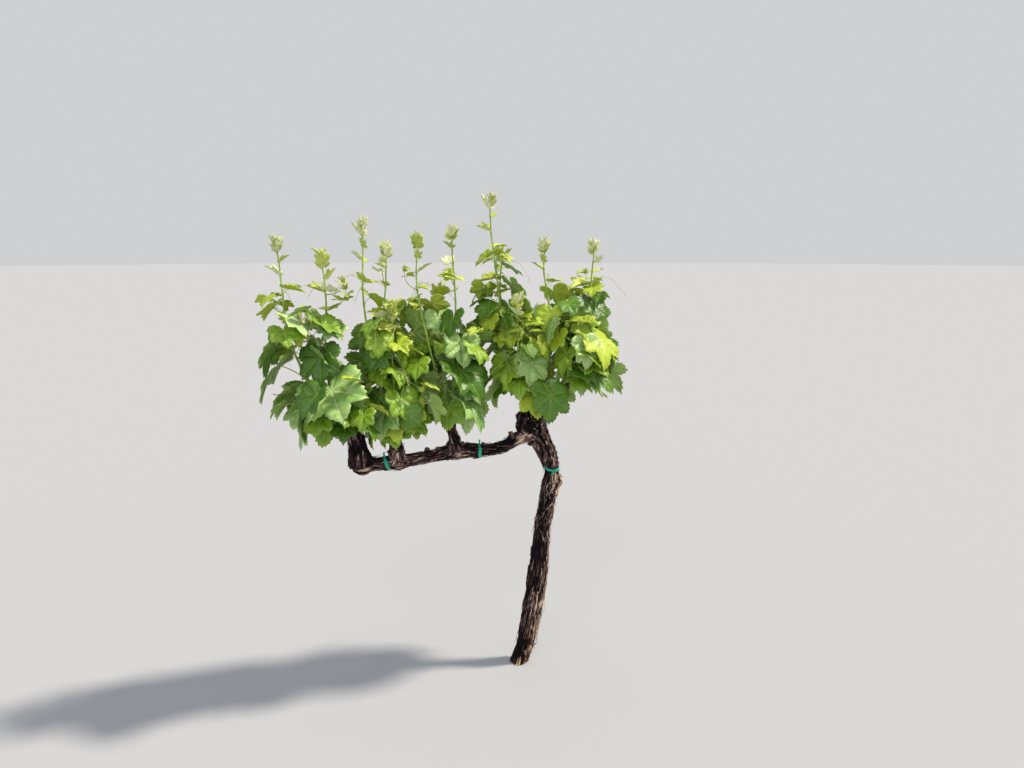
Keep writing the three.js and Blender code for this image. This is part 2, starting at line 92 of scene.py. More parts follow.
# Limbs as stations of x, y, z and radius
TRUNK = np.array([
    (0.0, 0.0, 0.0, 0.88),
    (0.28, 0.02, 0.12, 1.0),
    (0.55, -0.05, 0.335, 1.08),
    (0.76, 0.03, 0.55, 0.9),
    (0.92, 0.0, 0.68, 1.0),
    (1.0, 0.02, 0.75, 0.86),
    (0.91, 0.04, 0.81, 1.04),
    (0.72, 0.0, 0.865, 1.15),
    (0.42, -0.03, 0.925, 1.42),
    (0.28, 0.0, 0.97, 1.25),
    (0.26, 0.02, 1.0, 0.78),
]) * (TRUNK_LEAN, TRUNK_LEAN, HEAD_TOP, TRUNK_RADIUS)
CORDON = np.array([
    (0.07, 0.0, 60, 1.25),
    (-0.02, -0.01, 43, 1.05),
    (-0.11, -0.02, 22, 0.96),
    (-0.2, -0.01, 12, 0.92),
    (-0.33, 0.015, 14, 1.12),
    (-0.42, 0.02, 10, 1.1),
    (-0.54, 0.0, 3, 0.86),
    (-0.64, -0.015, -1, 0.94),
    (-0.75, -0.01, -5, 1.16),
    (-0.87, 0.01, -7, 1.1),
    (-0.96, 0.01, -8, 1.24),
    (-1.0, 0.01, -9, 0.95),
]) * (CORDON_LENGTH, CORDON_LENGTH, 1, CORDON_RADIUS) + (0, 0, CORDON_HEIGHT, 0)
BRANCHES = {
    "arm_right": [
        (50, 2, 893, 25), (88, 6, 922, 19), (128, 4, 946, 16), (156, -2, 972, 14), (168, -4, 992, 12),
    ],
    "spur_head": [(34, 0, 900, 22), (30, 2, 930, 16), (24, 4, 957, 12.5), (20, 4, 976, 11)],
    "spur_near": [(-228, 8, 798, 22), (-231, 4, 836, 18), (-240, -2, 876, 13), (-238, -4, 912, 11)],
    "spur_mid": [(-426, -6, 778, 25), (-431, -8, 824, 23), (-438, -4, 852, 17), (-441, 0, 876, 12.5)],
    "spur_end": [
        (-548, 4, 775, 32), (-552, 2, 818, 34), (-560, 0, 858, 29),
        (-580, -4, 890, 21), (-606, -8, 908, 14), (-622, -10, 921, 11.5),
    ],
}
BRANCHES = {name: np.array(stations, float) for name, stations in BRANCHES.items()}
# Round knobs on the head, and the one that the trunk's tie rests on: x, y, z and radius
KNOBS = [(10, -16, 874, 27), (70, -14, 884, 24), (34, 26, 868, 28), (24, -22, 905, 19)]
TIE_KNOB = (124, -6, 668, 31)

# Each mass grows from one spur, by a seed of its own. A shoot is given by where its tip stands, as x, y
# and z, and by its count of leaves
MASSES = {
    "shoots_end": ("spur_end", 11, [(-785, -30, 1490, 14), (-650, -25, 1440, 13), (-725, 65, 1240, 9)]),
    "shoots_mid": ("spur_mid", 23, [(-530, -20, 1545, 14), (-450, 40, 1470, 13), (-445, -65, 1280, 9)]),
    "shoots_near": ("spur_near", 37, [(-352, -15, 1500, 14), (-222, 15, 1530, 14), (-265, 70, 1320, 10)]),
    "shoots_head": ("spur_head", 41, [(-100, -15, 1630, 15), (-50, 50, 1450, 13), (-30, -60, 1290, 10)]),
    "shoots_arm": ("arm_right", 59, [(88, -15, 1480, 14), (262, -10, 1475, 14), (205, 60, 1310, 10)]),
}
# The walls between the masses: place along the row, lean, and where the wave up each one starts
WALLS = [(-560, -0.06, 0.9), (-340, -0.11, 2.6), (-108, -0.09, 4.4), (92, -0.12, 0.4)]
WAVE_UP = SimpleNamespace(depth=20, length=250)
WAVE_ACROSS = SimpleNamespace(depth=62, length=500)
WALL_MARGIN = 4

# The rule by which leaves, clusters and tendrils grow
FULL_BLADE = np.array([
    (0, 1), (14, 0.84), (27, 0.7), (49, 0.91), (77, 0.66), (103, 0.76), (150, 0.58), (173, 0.22),
])
TEST_RINGS = (0.35, 0.68, 1)
TEST_STALK = 0.6  # how far along its stalk a leaf's first test point sits
MOST_TAKEN = 80000  # points, of all that grows
NODE_STEPS = SimpleNamespace(least=0.35, lean=1.4)
BLADE_SHARE = SimpleNamespace(foot=0.76, full=(0.14, 0.3), tip=0.16, fall=0.85)
LEAF_RULE = SimpleNamespace(
    size=(0.86, 1.12), facing=(-1, 1), rise=(-0.15, 0.65), stalk=(0.62, 0.9), droop=(0.35, 1.25),
    young_droop=(-1.1, -0.4), heading=(-0.5, 0.5), roll=(-0.45, 0.45), fold=(-0.16, 0.26),
    curl=(0.08, 0.42),
)
YOUNG = SimpleNamespace(start=0.5, over=0.4, rise=0.5, stalk=0.6, fold=0.5)
SMALLER_EACH_TRY = 0.015
CLUSTER = SimpleNamespace(nodes=(4,), length=(70, 95), rise=0.1, clearance=13)
TENDRIL = SimpleNamespace(nodes=(6, 9), length=(90, 140), rise=0.7, clearance=7)
TRAIL_SHARES = (0, 0.2, 0.45, 0.72, 1)
TRAIL_RULE = SimpleNamespace(turn=(-0.6, 0.6), bend=(-1.2, 1.2), slope=(-0.3, 0.3), sag=0.9)
SHOOT_PLANE = (-1.3, 1.3)

# Side twigs in the leaf axils carry the rule on: smaller leaves on finer wood, within the same reach. Bare
# is the share of the axils that have none, and beside is the angle of a leaf off its twig
SIDE_TWIG = SimpleNamespace(
    reach_of_shoot=(0.0, 0.82), length=(70, 200), rise=(-0.2, 0.9), turn=(-1.5, 1.5), sag=0.5, tries=8,
    leaves=(3, 6), share=(0.42, 0.8), leaf_tries=14, smaller_up=0.5, clearance=3.5, leaf_clearance=0.045,
    past_wall=45, radii=(1.9, 0.9), hanging_below=0.2, low_rise=(-1.1, 0.7), bare=0.32, first_leaf=0.3,
    fewer_up=0.6, tip_leaf=0.6, tip_young=0.5, beside=1.2,
)


def mix(a, b, t):
    return a + (b - a) * t


def within(limits, draw):
    return mix(*limits, draw())


def seeded(seed):
    """A repeatable stream of numbers from 0 to 1, the same one as in the source."""
    word = 0xFFFFFFFF
    state = seed

    def draw():
        nonlocal state
        state = (state + 0x6D2B79F5) & word
        t = ((state ^ (state >> 15)) * (state | 1)) & word
        t ^= (t + (((t ^ (t >> 7)) * (t | 61)) & word)) & word
        return (t ^ (t >> 14)) / 4294967296

    return draw


def line_point(points, t):
    """The point at t, from 0 to 1, of the smooth line through points."""
    spans = len(points) - 1
    i = min(int(t * spans), spans - 1)
    w = t * spans - i
    p1, p2 = points[i], points[i + 1]
    p0 = points[i - 1] if i > 0 else 2 * p1 - p2
    p3 = points[i + 2] if i + 2 <= spans else 2 * p2 - p1
    d0, d1, d2 = (np.sum((b - a) ** 2) ** 0.25 for a, b in ((p0, p1), (p1, p2), (p2, p3)))
    m1 = ((p1 - p0) / d0 - (p2 - p0) / (d0 + d1) + (p2 - p1) / d1) * d1
    m2 = ((p2 - p1) / d1 - (p3 - p1) / (d1 + d2) + (p3 - p2) / d2) * d1
    c2 = -3 * p1 + 3 * p2 - 2 * m1 - m2
    c3 = 2 * p1 - 2 * p2 + m1 + m2
    return p1 + m1 * w + c2 * w * w + c3 * w * w * w


def line_points(points, count):
    """Evenly dealt points of the smooth line through points."""
    return np.array([line_point(points, t) for t in np.linspace(0, 1, count)])


def line_radius(radii, t):
    """The radii at t, eased from one station's to the next."""
    s = t * (len(radii) - 1)
    i = np.minimum(np.floor(s).astype(int), len(radii) - 2)
    f = s - i
    return mix(radii[i], radii[i + 1], f * f * (3 - 2 * f))


def limb_spheres():
    """Spheres along every limb, which leaves keep clear of: centres and radii."""
    t = np.linspace(0, 1, 41)
    lines = [TRUNK, CORDON, *BRANCHES.values()]
    centres = np.concatenate([line_points(stations[:, :3], len(t)) for stations in lines])
    radii = np.concatenate([line_radius(stations[:, 3], t) * LIMB_ALLOWANCE for stations in lines])
    return centres, radii


def wall_at(index, p):
    """How far along the row the wall on a mass's right stands, at the height and depth of points."""
    place, lean, start = WALLS[index]
    up = WAVE_UP.depth * np.sin(TAU * p[:, 2] / WAVE_UP.length + start)
    across = WAVE_ACROSS.depth * np.sin(TAU * p[:, 1] / WAVE_ACROSS.length)
    return place + lean * (p[:, 2] - HEAD_TOP) + up - across


def inside_space(index, p, past_wall):
    """True if all points are in a mass's own space. Side twigs may reach a little past its walls, and keep
    within the box round the solids."""
    low, high = np.array(CAD_BOX) / MM
    if past_wall and not np.all((p > low) & (p < high)):
        return False
    left = LEFT_END if index == 0 else wall_at(index - 1, p) - past_wall
    right = RIGHT_END if index == len(WALLS) else wall_at(index, p) + past_wall
    return np.all(
        (p[:, 0] > left + WALL_MARGIN)
        & (p[:, 0] < right - WALL_MARGIN)
        & (np.abs(p[:, 1]) < HALF_DEPTH)
        & (p[:, 2] > LEAF_FLOOR)
        & (p[:, 2] < LEAF_CEILING)
    )


class Room:
    """What is taken already, and the limbs, so that growth can be tested against them."""

    def __init__(self):
        self.taken = np.zeros((MOST_TAKEN, 3))
        self.count = 0
        self.centres, self.radii = limb_spheres()

    def take(self, points):
        self.taken[self.count : self.count + len(points)] = points
        self.count += len(points)

    def is_free(self, points, clearance):
        low, high = points.min(0) - clearance, points.max(0) + clearance
        taken = self.taken[: self.count]
        near = taken[np.all((taken > low) & (taken < high), axis=1)]
        apart = np.linalg.norm(points[:, None] - near[None], axis=2)
        return len(near) == 0 or apart.min() >= clearance

    def fits(self, points, clearance, mass, past_wall):
        if not inside_space(mass, points, past_wall) or not self.is_free(points, clearance):
            return False
        apart = np.linalg.norm(points[:, None] - self.centres[None], axis=2)
        return bool(np.all(apart > self.radii + LIMB_CLEARANCE))

    def place(self, attempt, mass, tries=TRIES, past_wall=0):
        """Tries a growth until one stands free. One that fits nowhere in its tries is skipped."""
        for i in range(tries):
            growth = attempt(i)
            if self.fits(growth.points, growth.clearance, mass, past_wall):
                self.take(growth.points)
                return [growth]
        return []


def shoot_at(fork, tip, t):
    """A shoot leaves its spur slanting and then rises along the row."""
    spread = 1 - max(0, 1 - t) ** SHOOT_SPREAD
    return np.array([
        mix(fork[0], tip[0], spread) + SHOOT_SWAY * math.sin(TAU * SWAY_TURNS[0] * t + tip[2]) * t,
        mix(fork[1], tip[1], spread) + SHOOT_SWAY * math.cos(TAU * SWAY_TURNS[1] * t + tip[0]) * t,
        mix(fork[2], tip[2], t),
    ])


def nodes_along(count):
    """Where a shoot's nodes sit on it: close together at its foot and towards its tip."""
    u = (np.arange(count) + 0.5) / count
    steps = NODE_STEPS.least + np.sin(math.pi * u**NODE_STEPS.lean)
    return np.cumsum(steps) / steps.sum()


def blade_share(t):
    """How large a shoot's leaf is at t: a little smaller at the foot, then full, then less and less."""
    first, last = BLADE_SHARE.full
    if t < first:
        return mix(BLADE_SHARE.foot, 1, t / first)
    if t < last:
        return 1
    return mix(1, BLADE_SHARE.tip, ((t - last) / (1 - last)) ** BLADE_SHARE.fall)


def on_blade(leaf, along, aside, lift=0):
    """Points of a blade, from shares of its reach along and beside its midrib, bent by fold and curl."""
    bent = leaf.fold * np.abs(aside) - leaf.curl * np.maximum(along, 0) ** 2 + lift
    ways = np.stack([leaf.midrib, leaf.side, leaf.normal])
    return leaf.joint + leaf.reach * (np.stack([along, aside, bent], axis=-1) @ ways)


def leaf_points(leaf):
    """Points that stand for a leaf in the tests: its stalk, its joint, and rings over its blade."""
    angle = np.radians(np.concatenate([FULL_BLADE[:, 0], -FULL_BLADE[:, 0]]))
    reaches = np.outer(TEST_RINGS, np.concatenate([FULL_BLADE[:, 1]] * 2))
    rings = [on_blade(leaf, reach * np.cos(angle), reach * np.sin(angle)) for reach in reaches]
    return np.concatenate([[mix(leaf.node, leaf.joint, TEST_STALK), leaf.joint], *rings])


def turned(angle):
    """A level direction."""
    return np.array([math.cos(angle), math.sin(angle), 0.0])


def try_leaf(node, share, young, side, attempt, draw, clearance=LEAF_CLEARANCE):
    """One try at a leaf: a stalk out of the shoot, and a blade that hangs from its end."""
    rule = LEAF_RULE
    share = share * within(rule.size, draw) * (1 - SMALLER_EACH_TRY * attempt)
    reach = LEAF_REACH * share
    facing = side + within(rule.facing, draw)
    rise = within(rule.rise, draw) + YOUNG.rise * young
    stalk = reach * within(rule.stalk, draw) * mix(1, YOUNG.stalk, young)
    joint = node + turned(facing) * stalk * math.cos(rise) + UP * stalk * math.sin(rise)
    droop = mix(within(rule.droop, draw), within(rule.young_droop, draw), young)
    ahead = turned(facing + within(rule.heading, draw))
    midrib = ahead * math.cos(droop) - UP * math.sin(droop)
    upright = ahead * math.sin(droop) + UP * math.cos(droop)
    level = np.cross(upright, midrib)
    roll = within(rule.roll, draw)
    normal = upright * math.cos(roll) + level * math.sin(roll)
    leaf = SimpleNamespace(
        node=node, joint=joint, midrib=midrib, normal=normal, side=np.cross(normal, midrib),
        reach=reach, share=share, young=young,
        fold=within(rule.fold, draw) + YOUNG.fold * young,
        curl=within(rule.curl, draw) * (1 - young),
        clearance=max(LEAST_CLEARANCE, clearance * reach),
    )
    leaf.points = leaf_points(leaf)
    return leaf


def try_trail(node, heading, kind, draw):
    """One try at a tendril or a flower cluster, as points from the shoot outwards."""
    length = within(kind.length, draw)
    turn = heading + within(TRAIL_RULE.turn, draw)
    bend = within(TRAIL_RULE.bend, draw)
    slope = kind.rise + within(TRAIL_RULE.slope, draw)
    trail = []
    for share in TRAIL_SHARES:
        lift = slope - TRAIL_RULE.sag * share * share
        way = turned(turn + bend * share) * math.cos(lift) + UP * math.sin(lift)
        trail.append(node + way * length * share)
    trail = np.array(trail)
    return SimpleNamespace(trail=trail, points=trail[2:], clearance=kind.clearance)


def grow_shoot(shoot, mass, room, draw):
    """What one shoot bears: a leaf at each node, and across from some a flower cluster or a tendril."""
    plane = math.pi / 2 + within(SHOOT_PLANE, draw)
    for number, t in enumerate(nodes_along(shoot.count)):
        node = shoot_at(shoot.fork, shoot.tip, t)
        facing = plane + (number % 2) * math.pi
        across = facing + math.pi
        young = min(1, max(0, (t - YOUNG.start) / YOUNG.over))
        shoot.nodes.append(SimpleNamespace(t=t, place=node, facing=facing, young=young))
        shoot.leaves += room.place(
            lambda i: try_leaf(node, blade_share(t), young, facing, i, draw), mass
        )
        if number in CLUSTER.nodes:
            shoot.clusters += room.place(lambda i: try_trail(node, across, CLUSTER, draw), mass)
        if number in TENDRIL.nodes:
            shoot.tendrils += room.place(lambda i: try_trail(node, across, TENDRIL, draw), mass)


def try_twig(node, size, draw):
    """One try at a side twig in a leaf axil. Its first points stand too near the shoot to be tested."""
    length = within(SIDE_TWIG.length, draw) * size
    turn = node.facing + within(SIDE_TWIG.turn, draw)
    rise = within(SIDE_TWIG.rise if node.t > SIDE_TWIG.hanging_below else SIDE_TWIG.low_rise, draw)
    shares = np.linspace(0, 1, 7)
    lifts = rise + SIDE_TWIG.sag * shares * shares
    ways = np.outer(np.cos(lifts), turned(turn)) + np.outer(np.sin(lifts), UP)
    line = node.place + ways * (length * shares)[:, None]
    return SimpleNamespace(line=line, turn=turn, points=line[2:], clearance=SIDE_TWIG.clearance)


def grow_side_twigs(shoot, mass, room, draw):
    """Side twigs with leaves on both sides, and a young leaf at the tip. They are small higher up."""
    kind = SIDE_TWIG
    low, high = kind.reach_of_shoot
    for node in shoot.nodes:
        if not low < node.t < high or draw() < kind.bare:
            continue
        size = mix(1, kind.smaller_up, node.t / high)
        for twig in room.place(lambda i: try_twig(node, size, draw), mass, kind.tries, kind.past_wall):
            count = round(within(kind.leaves, draw) * mix(1, kind.fewer_up, node.t))
            leaves = []
            for number in range(count):
                along = kind.first_leaf + (1 - kind.first_leaf) * (number + 1) / count
                place = line_point(twig.line, along)
                last = number == count - 1
                share = within(kind.share, draw) * size * (kind.tip_leaf if last else 1)
                young = max(node.young, kind.tip_young if last else 0)
                side = twig.turn + (1 if number % 2 else -1) * kind.beside
                leaves += room.place(
                    lambda i: try_leaf(place, share, young, side, i, draw, kind.leaf_clearance),
                    mass, kind.leaf_tries, kind.past_wall,
                )
            if leaves:
                shoot.twigs.append(twig)
                shoot.leaves += leaves


def fork_of(spur):
    """Where the shoots on a spur part, a little above its cut end."""
    stations = BRANCHES[spur]
    end = line_point(stations[:, :3], 1.0)
    way = end - line_point(stations[:, :3], 0.9999)
    way /= np.linalg.norm(way)
    return SimpleNamespace(end=end, way=way, radius=stations[-1, 3], fork=end + way * FORK_HEIGHT)


def grow_vine():
    """All shoots, in the source's order, and then their side twigs."""
    room = Room()
    vine = {}
    for name, (spur, seed, tips) in MASSES.items():
        fork = fork_of(spur).fork
        vine[name] = [
            SimpleNamespace(
                fork=fork, tip=np.array([x, y, z], float), count=count, seed=seed * 100 + number,
                nodes=[], leaves=[], clusters=[], tendrils=[], twigs=[],
            )
            for number, (x, y, z, count) in enumerate(tips)
        ]
    for shoot in itertools.chain(*vine.values()):
        room.take(np.array([shoot_at(shoot.fork, shoot.tip, i / 60) for i in range(61)]))
    for mass, shoots in enumerate(vine.values()):
        for shoot in shoots:
            grow_shoot(shoot, mass, room, seeded(shoot.seed))
    for mass, shoots in enumerate(vine.values()):
        for shoot in shoots:
            grow_side_twigs(shoot, mass, room, seeded(shoot.seed + 50))
    return vine


class Batch:
    """Points, in millimetres, and faces that are gathered into one piece."""

    def __init__(self):
        self.points, self.faces, self.finishes, self.smooths, self.marks = [], [], [], [], []
        self.count = 0

    def put(self, points):
        """Adds points and gives the number of the first one."""
        first = self.count
        self.points.append(np.reshape(points, (-1, 3)))
        self.count += len(self.points[-1])
        return first

    def join(self, faces, finish=0, smooth=True):
        """Adds faces, or a single one, by the numbers of their corners."""
        faces = np.atleast_2d(faces)
        self.faces.append(faces)
        self.finishes.append(np.full(len(faces), finish))
        self.smooths.append(np.full(len(faces), smooth))


def grid_faces(rows, columns, wrap=False):
    """Faces of a grid of points that is counted row by row. A wrapped grid closes round its columns."""
    row, column = np.meshgrid(np.arange(rows - 1), np.arange(columns - (0 if wrap else 1)), indexing="ij")
    after = (column + 1) % columns
    start, end = row * columns, (row + 1) * columns
    return np.stack([start + column, start + after, end + after, end + column], axis=-1).reshape(-1, 4)


def ring_frames(line):
    """At each point of a line, its way on and two directions across it that turn as little as they can."""
    ways = np.gradient(line, axis=0)
    ways /= np.linalg.norm(ways, axis=1)[:, None]
    start = np.cross(ways[0], UP if abs(ways[0][2]) < 0.9 else np.array([1.0, 0, 0]))
    across = [start / np.linalg.norm(start)]
    for way in ways[1:]:
        kept = across[-1] - way * np.dot(across[-1], way)
        across.append(kept / np.linalg.norm(kept))
    across = np.array(across)
    return ways, across, np.cross(ways, across)


def add_rings(batch, rings, finish=0, smooth_ends=True):
    """A closed skin over rings that have as many points each, with a flat face at both ends."""
    first = batch.put(rings)
    steps, around = rings.shape[:2]
    end = np.arange(around)
    batch.join(grid_faces(steps, around, wrap=True) + first, finish)
    batch.join(end[::-1] + first, finish, smooth_ends)
    batch.join(end + first + (steps - 1) * around, finish, smooth_ends)


def add_tube(batch, line, radii, sides, finish=0):
    """A round closed tube along a line. Its radius may change from point to point."""
    line = np.asarray(line, float)
    radii = np.broadcast_to(radii, len(line))
    _, across, aside = ring_frames(line)
    angle = np.arange(sides) / sides * TAU
    round_it = across[:, None] * np.cos(angle)[:, None] + aside[:, None] * np.sin(angle)[:, None]
    add_rings(batch, line[:, None] + round_it * radii[:, None, None], finish, smooth_ends=False)


def add_piece(name, batch, finishes, slot, *nodes):
    """The piece that a batch makes. It rides on the plant's one body and may stand for CAD nodes."""
    mesh = bpy.data.meshes.new(name)
    points = np.concatenate(batch.points) * MM
    sizes = np.concatenate([np.full(len(faces), faces.shape[1]) for faces in batch.faces])
    corners = np.concatenate([faces.ravel() for faces in batch.faces])
    starts = np.concatenate([[0], np.cumsum(sizes)[:-1]])
    mesh.vertices.add(len(points))
    mesh.vertices.foreach_set("co", points.ravel())
    mesh.loops.add(len(corners))
    mesh.loops.foreach_set("vertex_index", corners.astype(np.int32))
    mesh.polygons.add(len(sizes))
    mesh.polygons.foreach_set("loop_start", starts.astype(np.int32))
    mesh.polygons.foreach_set("material_index", np.concatenate(batch.finishes).astype(np.int32))
    mesh.polygons.foreach_set("use_smooth", np.concatenate(batch.smooths))
    for finish in finishes:
        mesh.materials.append(finish)
    mesh.update(calc_edges=True)
    piece = bpy.data.objects.new(name, mesh)
    bpy.context.scene.collection.objects.link(piece)
    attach(piece, "root")
    if nodes:
        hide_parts(*nodes)
    return piece


def add_attribute(piece, name, values):
    """Values at the points of a piece, for its material to read."""
    kind, field = ("FLOAT", "value") if values.ndim == 1 else ("FLOAT_VECTOR", "vector")
    piece.data.attributes.new(name, kind, "POINT").data.foreach_set(field, values.ravel())


# Large odd numbers that mix the digits of a cell's place: for the axes, for the seed, and two to finish
HASH_AXES = np.array([374761393, 668265263, 2246822519], np.uint64)
HASH_SEED = 3266489917
HASH_STEPS = ((15, 2654435761), (13, 1274126177))
HASH_RANGE = 0xFFFFFF


def scattered(cell, seed):
    """A number from 0 to 1 that looks random for each whole-numbered cell."""
    n = (cell.astype(np.int64).astype(np.uint64) * HASH_AXES).sum(axis=-1) + np.uint64(seed * HASH_SEED)
    for shift, factor in HASH_STEPS:
        n = (n ^ (n >> np.uint64(shift))) * np.uint64(factor)
    return ((n ^ (n >> np.uint64(16))) & np.uint64(HASH_RANGE)).astype(float) / HASH_RANGE


def noise(p, seed=0):
    """Smooth noise from -1 to 1 with one swell for each unit of p."""
    base = np.floor(p)
    f = p - base
    w = f * f * (3 - 2 * f)
    total = 0
    for corner in itertools.product((0, 1), repeat=3):
        weight = np.prod(np.where(corner, w, 1 - w), axis=-1)
        total = total + weight * scattered(base + corner, seed)
    return 2 * total - 1


def plates(p, seed=0):
    """Plates of about one unit of p: how near their edges each point is, and each plate's own number."""
    base = np.floor(p)
    near = np.full(p.shape[:-1], 9.0)
    second = near.copy()
    number = np.zeros_like(near)
    for offset in itertools.product((-1, 0, 1), repeat=3):
        cell = base + offset
        middle = cell + np.stack([scattered(cell, seed + k) for k in range(3)], axis=-1)
        apart = np.linalg.norm(p - middle, axis=-1)
        closer = apart < near
        second = np.where(closer, near, np.minimum(second, apart))
        number = np.where(closer, scattered(cell, seed + 7), number)
        near = np.minimum(near, apart)
    return second - near, number


def ease(low, high, x):
    """From 0 to 1 as x goes from low to high, without a corner at either end."""
    t = np.clip((x - low) / (high - low), 0, 1)
    return t * t * (3 - 2 * t)


# Old bark hangs in long shreds. Sizes in millimetres
STRIP = SimpleNamespace(width=6.6, length=74, height=3.9, crevice=4.4, edge=0.24)
SPLIT = SimpleNamespace(width=0.45, length=0.4, height=1.5, edge=0.2)  # width and length by a strip's own
FIBRE = SimpleNamespace(width=2.1, length=34, height=0.9)
LUMP = SimpleNamespace(size=44, height=3.8)
CHIP = SimpleNamespace(size=9, height=1.5)
WANDER = SimpleNamespace(sizes=(38, 38, 20), far=(6, 6, 9))  # how the grain strays, over what sizes
FULL_GIRTH = 26  # a thinner limb has finer bark
BARK_STEP = 1.5  # between the mesh's columns, round a limb
LEAST_AROUND = 24
RING_STEP = 3.4  # between its rings
RELIEF_RANGE = (-6.0, 5.0)
SPREAD_REACH = 42  # how far from its foot a limb is widened
OUT_OF_ROUND = (0.06, 0.05)
TWIST = SimpleNamespace(sway=0.5, length=210, turn=0.0022)  # of the grain along a limb, in radians
HELD = SimpleNamespace(reach=9, flat=0.85, sunk=1.5)  # how a tie presses the bark in
# Knots and healed cuts: where on a limb, their radius, and how far out they sit
WARTS = SimpleNamespace(along=(0.05, 0.95), size=(7, 14), out=0.75)
STUBS = SimpleNamespace(
    along=(0.1, 0.95), scatter=0.4, lean=0.2, outward=0.5, start=0.6, radius=(5, 9), length=(6, 15),
    foot=1.35, tip=0.85, lumps=0.12,
)
CANE = SimpleNamespace(above=0.3, radius=0.86, taper=0.2, swell=0.14, rounded=(0.95, 0.75, 0.4))
# A loose shred strays aside as it hangs, lifts and curls towards its free end, and is torn narrower there
SHRED = SimpleNamespace(
    steps=12, stray=3.5, wave=1.2, waves=(3, 9), off=0.4, lift=(1.3, 1.5), least_lift=1.1, curl=3,
    ripples=7, torn=0.3, tears=(5, 14), half=(1.0, 4.8), narrower=0.75, end=0.3, thick=(0.25, 0.6),
    lean=0.5, foot_lean=0.2,
)
PALE_SHREDS = 0.35
# The side towards the key light: painted paler as sunlit, and shaggier than the rest. Its turn round the
# trunk is in radians
PAINTED_SUN_SIDE = SimpleNamespace(
    share=0.19, way=(0.76, -0.65, 0), below=(620, 800), turn=0.7, spread=0.5, pale=0.4, loose=1.7
)


def bark_relief(grain, place, girth, seed):
    """How far the bark stands out at points, in mm: lumps, shreds with crevices between, and fibres."""
    strays = [noise(place / size, seed + 20 + axis) for axis, size in enumerate(WANDER.sizes)]
    wandering = grain + np.stack(strays, axis=-1) * WANDER.far
    edge, number = plates(wandering / (STRIP.width, STRIP.width, STRIP.length), seed)
    strips = (number - 0.5) * STRIP.height - STRIP.crevice * (1 - ease(0, STRIP.edge, edge))
    width, length = STRIP.width * SPLIT.width, STRIP.length * SPLIT.length
    edge, number = plates(wandering / (width, width, length), seed + 40)
    splits = (number - 0.5) * SPLIT.height - SPLIT.height * (1 - ease(0, SPLIT.edge, edge))
    fibres = FIBRE.height * noise(wandering / (FIBRE.width, FIBRE.width, FIBRE.length), seed + 60)
    chips = CHIP.height * noise(place / CHIP.size, seed + 90)
    lumps = LUMP.height * noise(place / LUMP.size, seed + 80)
    return (strips + splits + fibres + chips) * girth + lumps


def swell(radius, centre, outward, lumps, blend=5):
    """Radii that also take in round lumps on a limb, with a soft hollow where they meet it."""
    for x, y, z, size in lumps:
        apart = np.array([x, y, z]) - centre
        along = np.sum(apart * outward, axis=-1)
        inside = size**2 - np.sum(apart * apart, axis=-1) + along**2
        far = np.where(inside > 0, along + np.sqrt(np.maximum(inside, 0)), 0)
        radius = radius + blend * np.logaddexp(0, (far - radius) / blend) * (far > 0)
    return radius


def wood_surface(stations, seed, level=False, flare=0, spread=0, lumps=(), ties=()):
    """A limb's barked surface, as rings of points, with the relief and the grain at each one. Level rings
    give flat cuts at the ends. Spread widens the foot, where the limb leaves another one."""
    radii = stations[:, 3]
    measured = line_points(stations[:, :3], 200)
    length = np.linalg.norm(np.diff(measured, axis=0), axis=1).sum()
    rings = round(length / RING_STEP)
    around = max(LEAST_AROUND, round(TAU * radii.mean() / BARK_STEP))
    t = np.linspace(0, 1, rings + 1)
    line = line_points(stations[:, :3], rings + 1)
    _, across, aside = ring_frames(line)
    if level:
        across, aside = (np.tile(way, (rings + 1, 1)) for way in ([1.0, 0, 0], [0, -1.0, 0]))
    turn = np.arange(around) / around * TAU
    outward = across[:, None] * np.cos(turn)[:, None] + aside[:, None] * np.sin(turn)[:, None]
    on = t[:, None]
    flattened, ribbed = OUT_OF_ROUND
    uneven = flattened * np.sin(2 * turn + 9 * on) + ribbed * np.sin(3 * turn - 14 * on + 1)
    root = flare * np.exp(-line[:, 2:] / FLARE_HEIGHT) * (0.6 + 0.4 * np.cos(3 * turn + 0.7))
    radius = line_radius(radii, t)[:, None] * (1 + uneven + root)
    radius = swell(radius, line[:, None], outward, lumps)
    along = np.concatenate([[0], np.cumsum(np.linalg.norm(np.diff(line, axis=0), axis=1))])
    radius = radius * (1 + spread * np.exp(-((along[:, None] / SPREAD_REACH) ** 2)))
    sway = TWIST.sway * np.sin(along / TWIST.length + seed)
    twist = turn + sway[:, None] + TWIST.turn * along[:, None]
    mean = radii.mean()
    grain = np.stack([
        mean * np.cos(twist), mean * np.sin(twist), np.broadcast_to(along[:, None], twist.shape),
    ], axis=-1)
    place = line[:, None] + outward * radius[..., None]
    relief = bark_relief(grain, place, min(1, mean / FULL_GIRTH), seed)
    for tie in ties:
        held = np.exp(-((np.linalg.norm(line - tie, axis=1)[:, None] / HELD.reach) ** 2))
        relief = relief * (1 - HELD.flat * held) - HELD.sunk * held
    points = place + outward * relief[..., None]
    return SimpleNamespace(
        points=points, outward=outward, relief=relief, grain=grain, line=line, radius=radius
    )


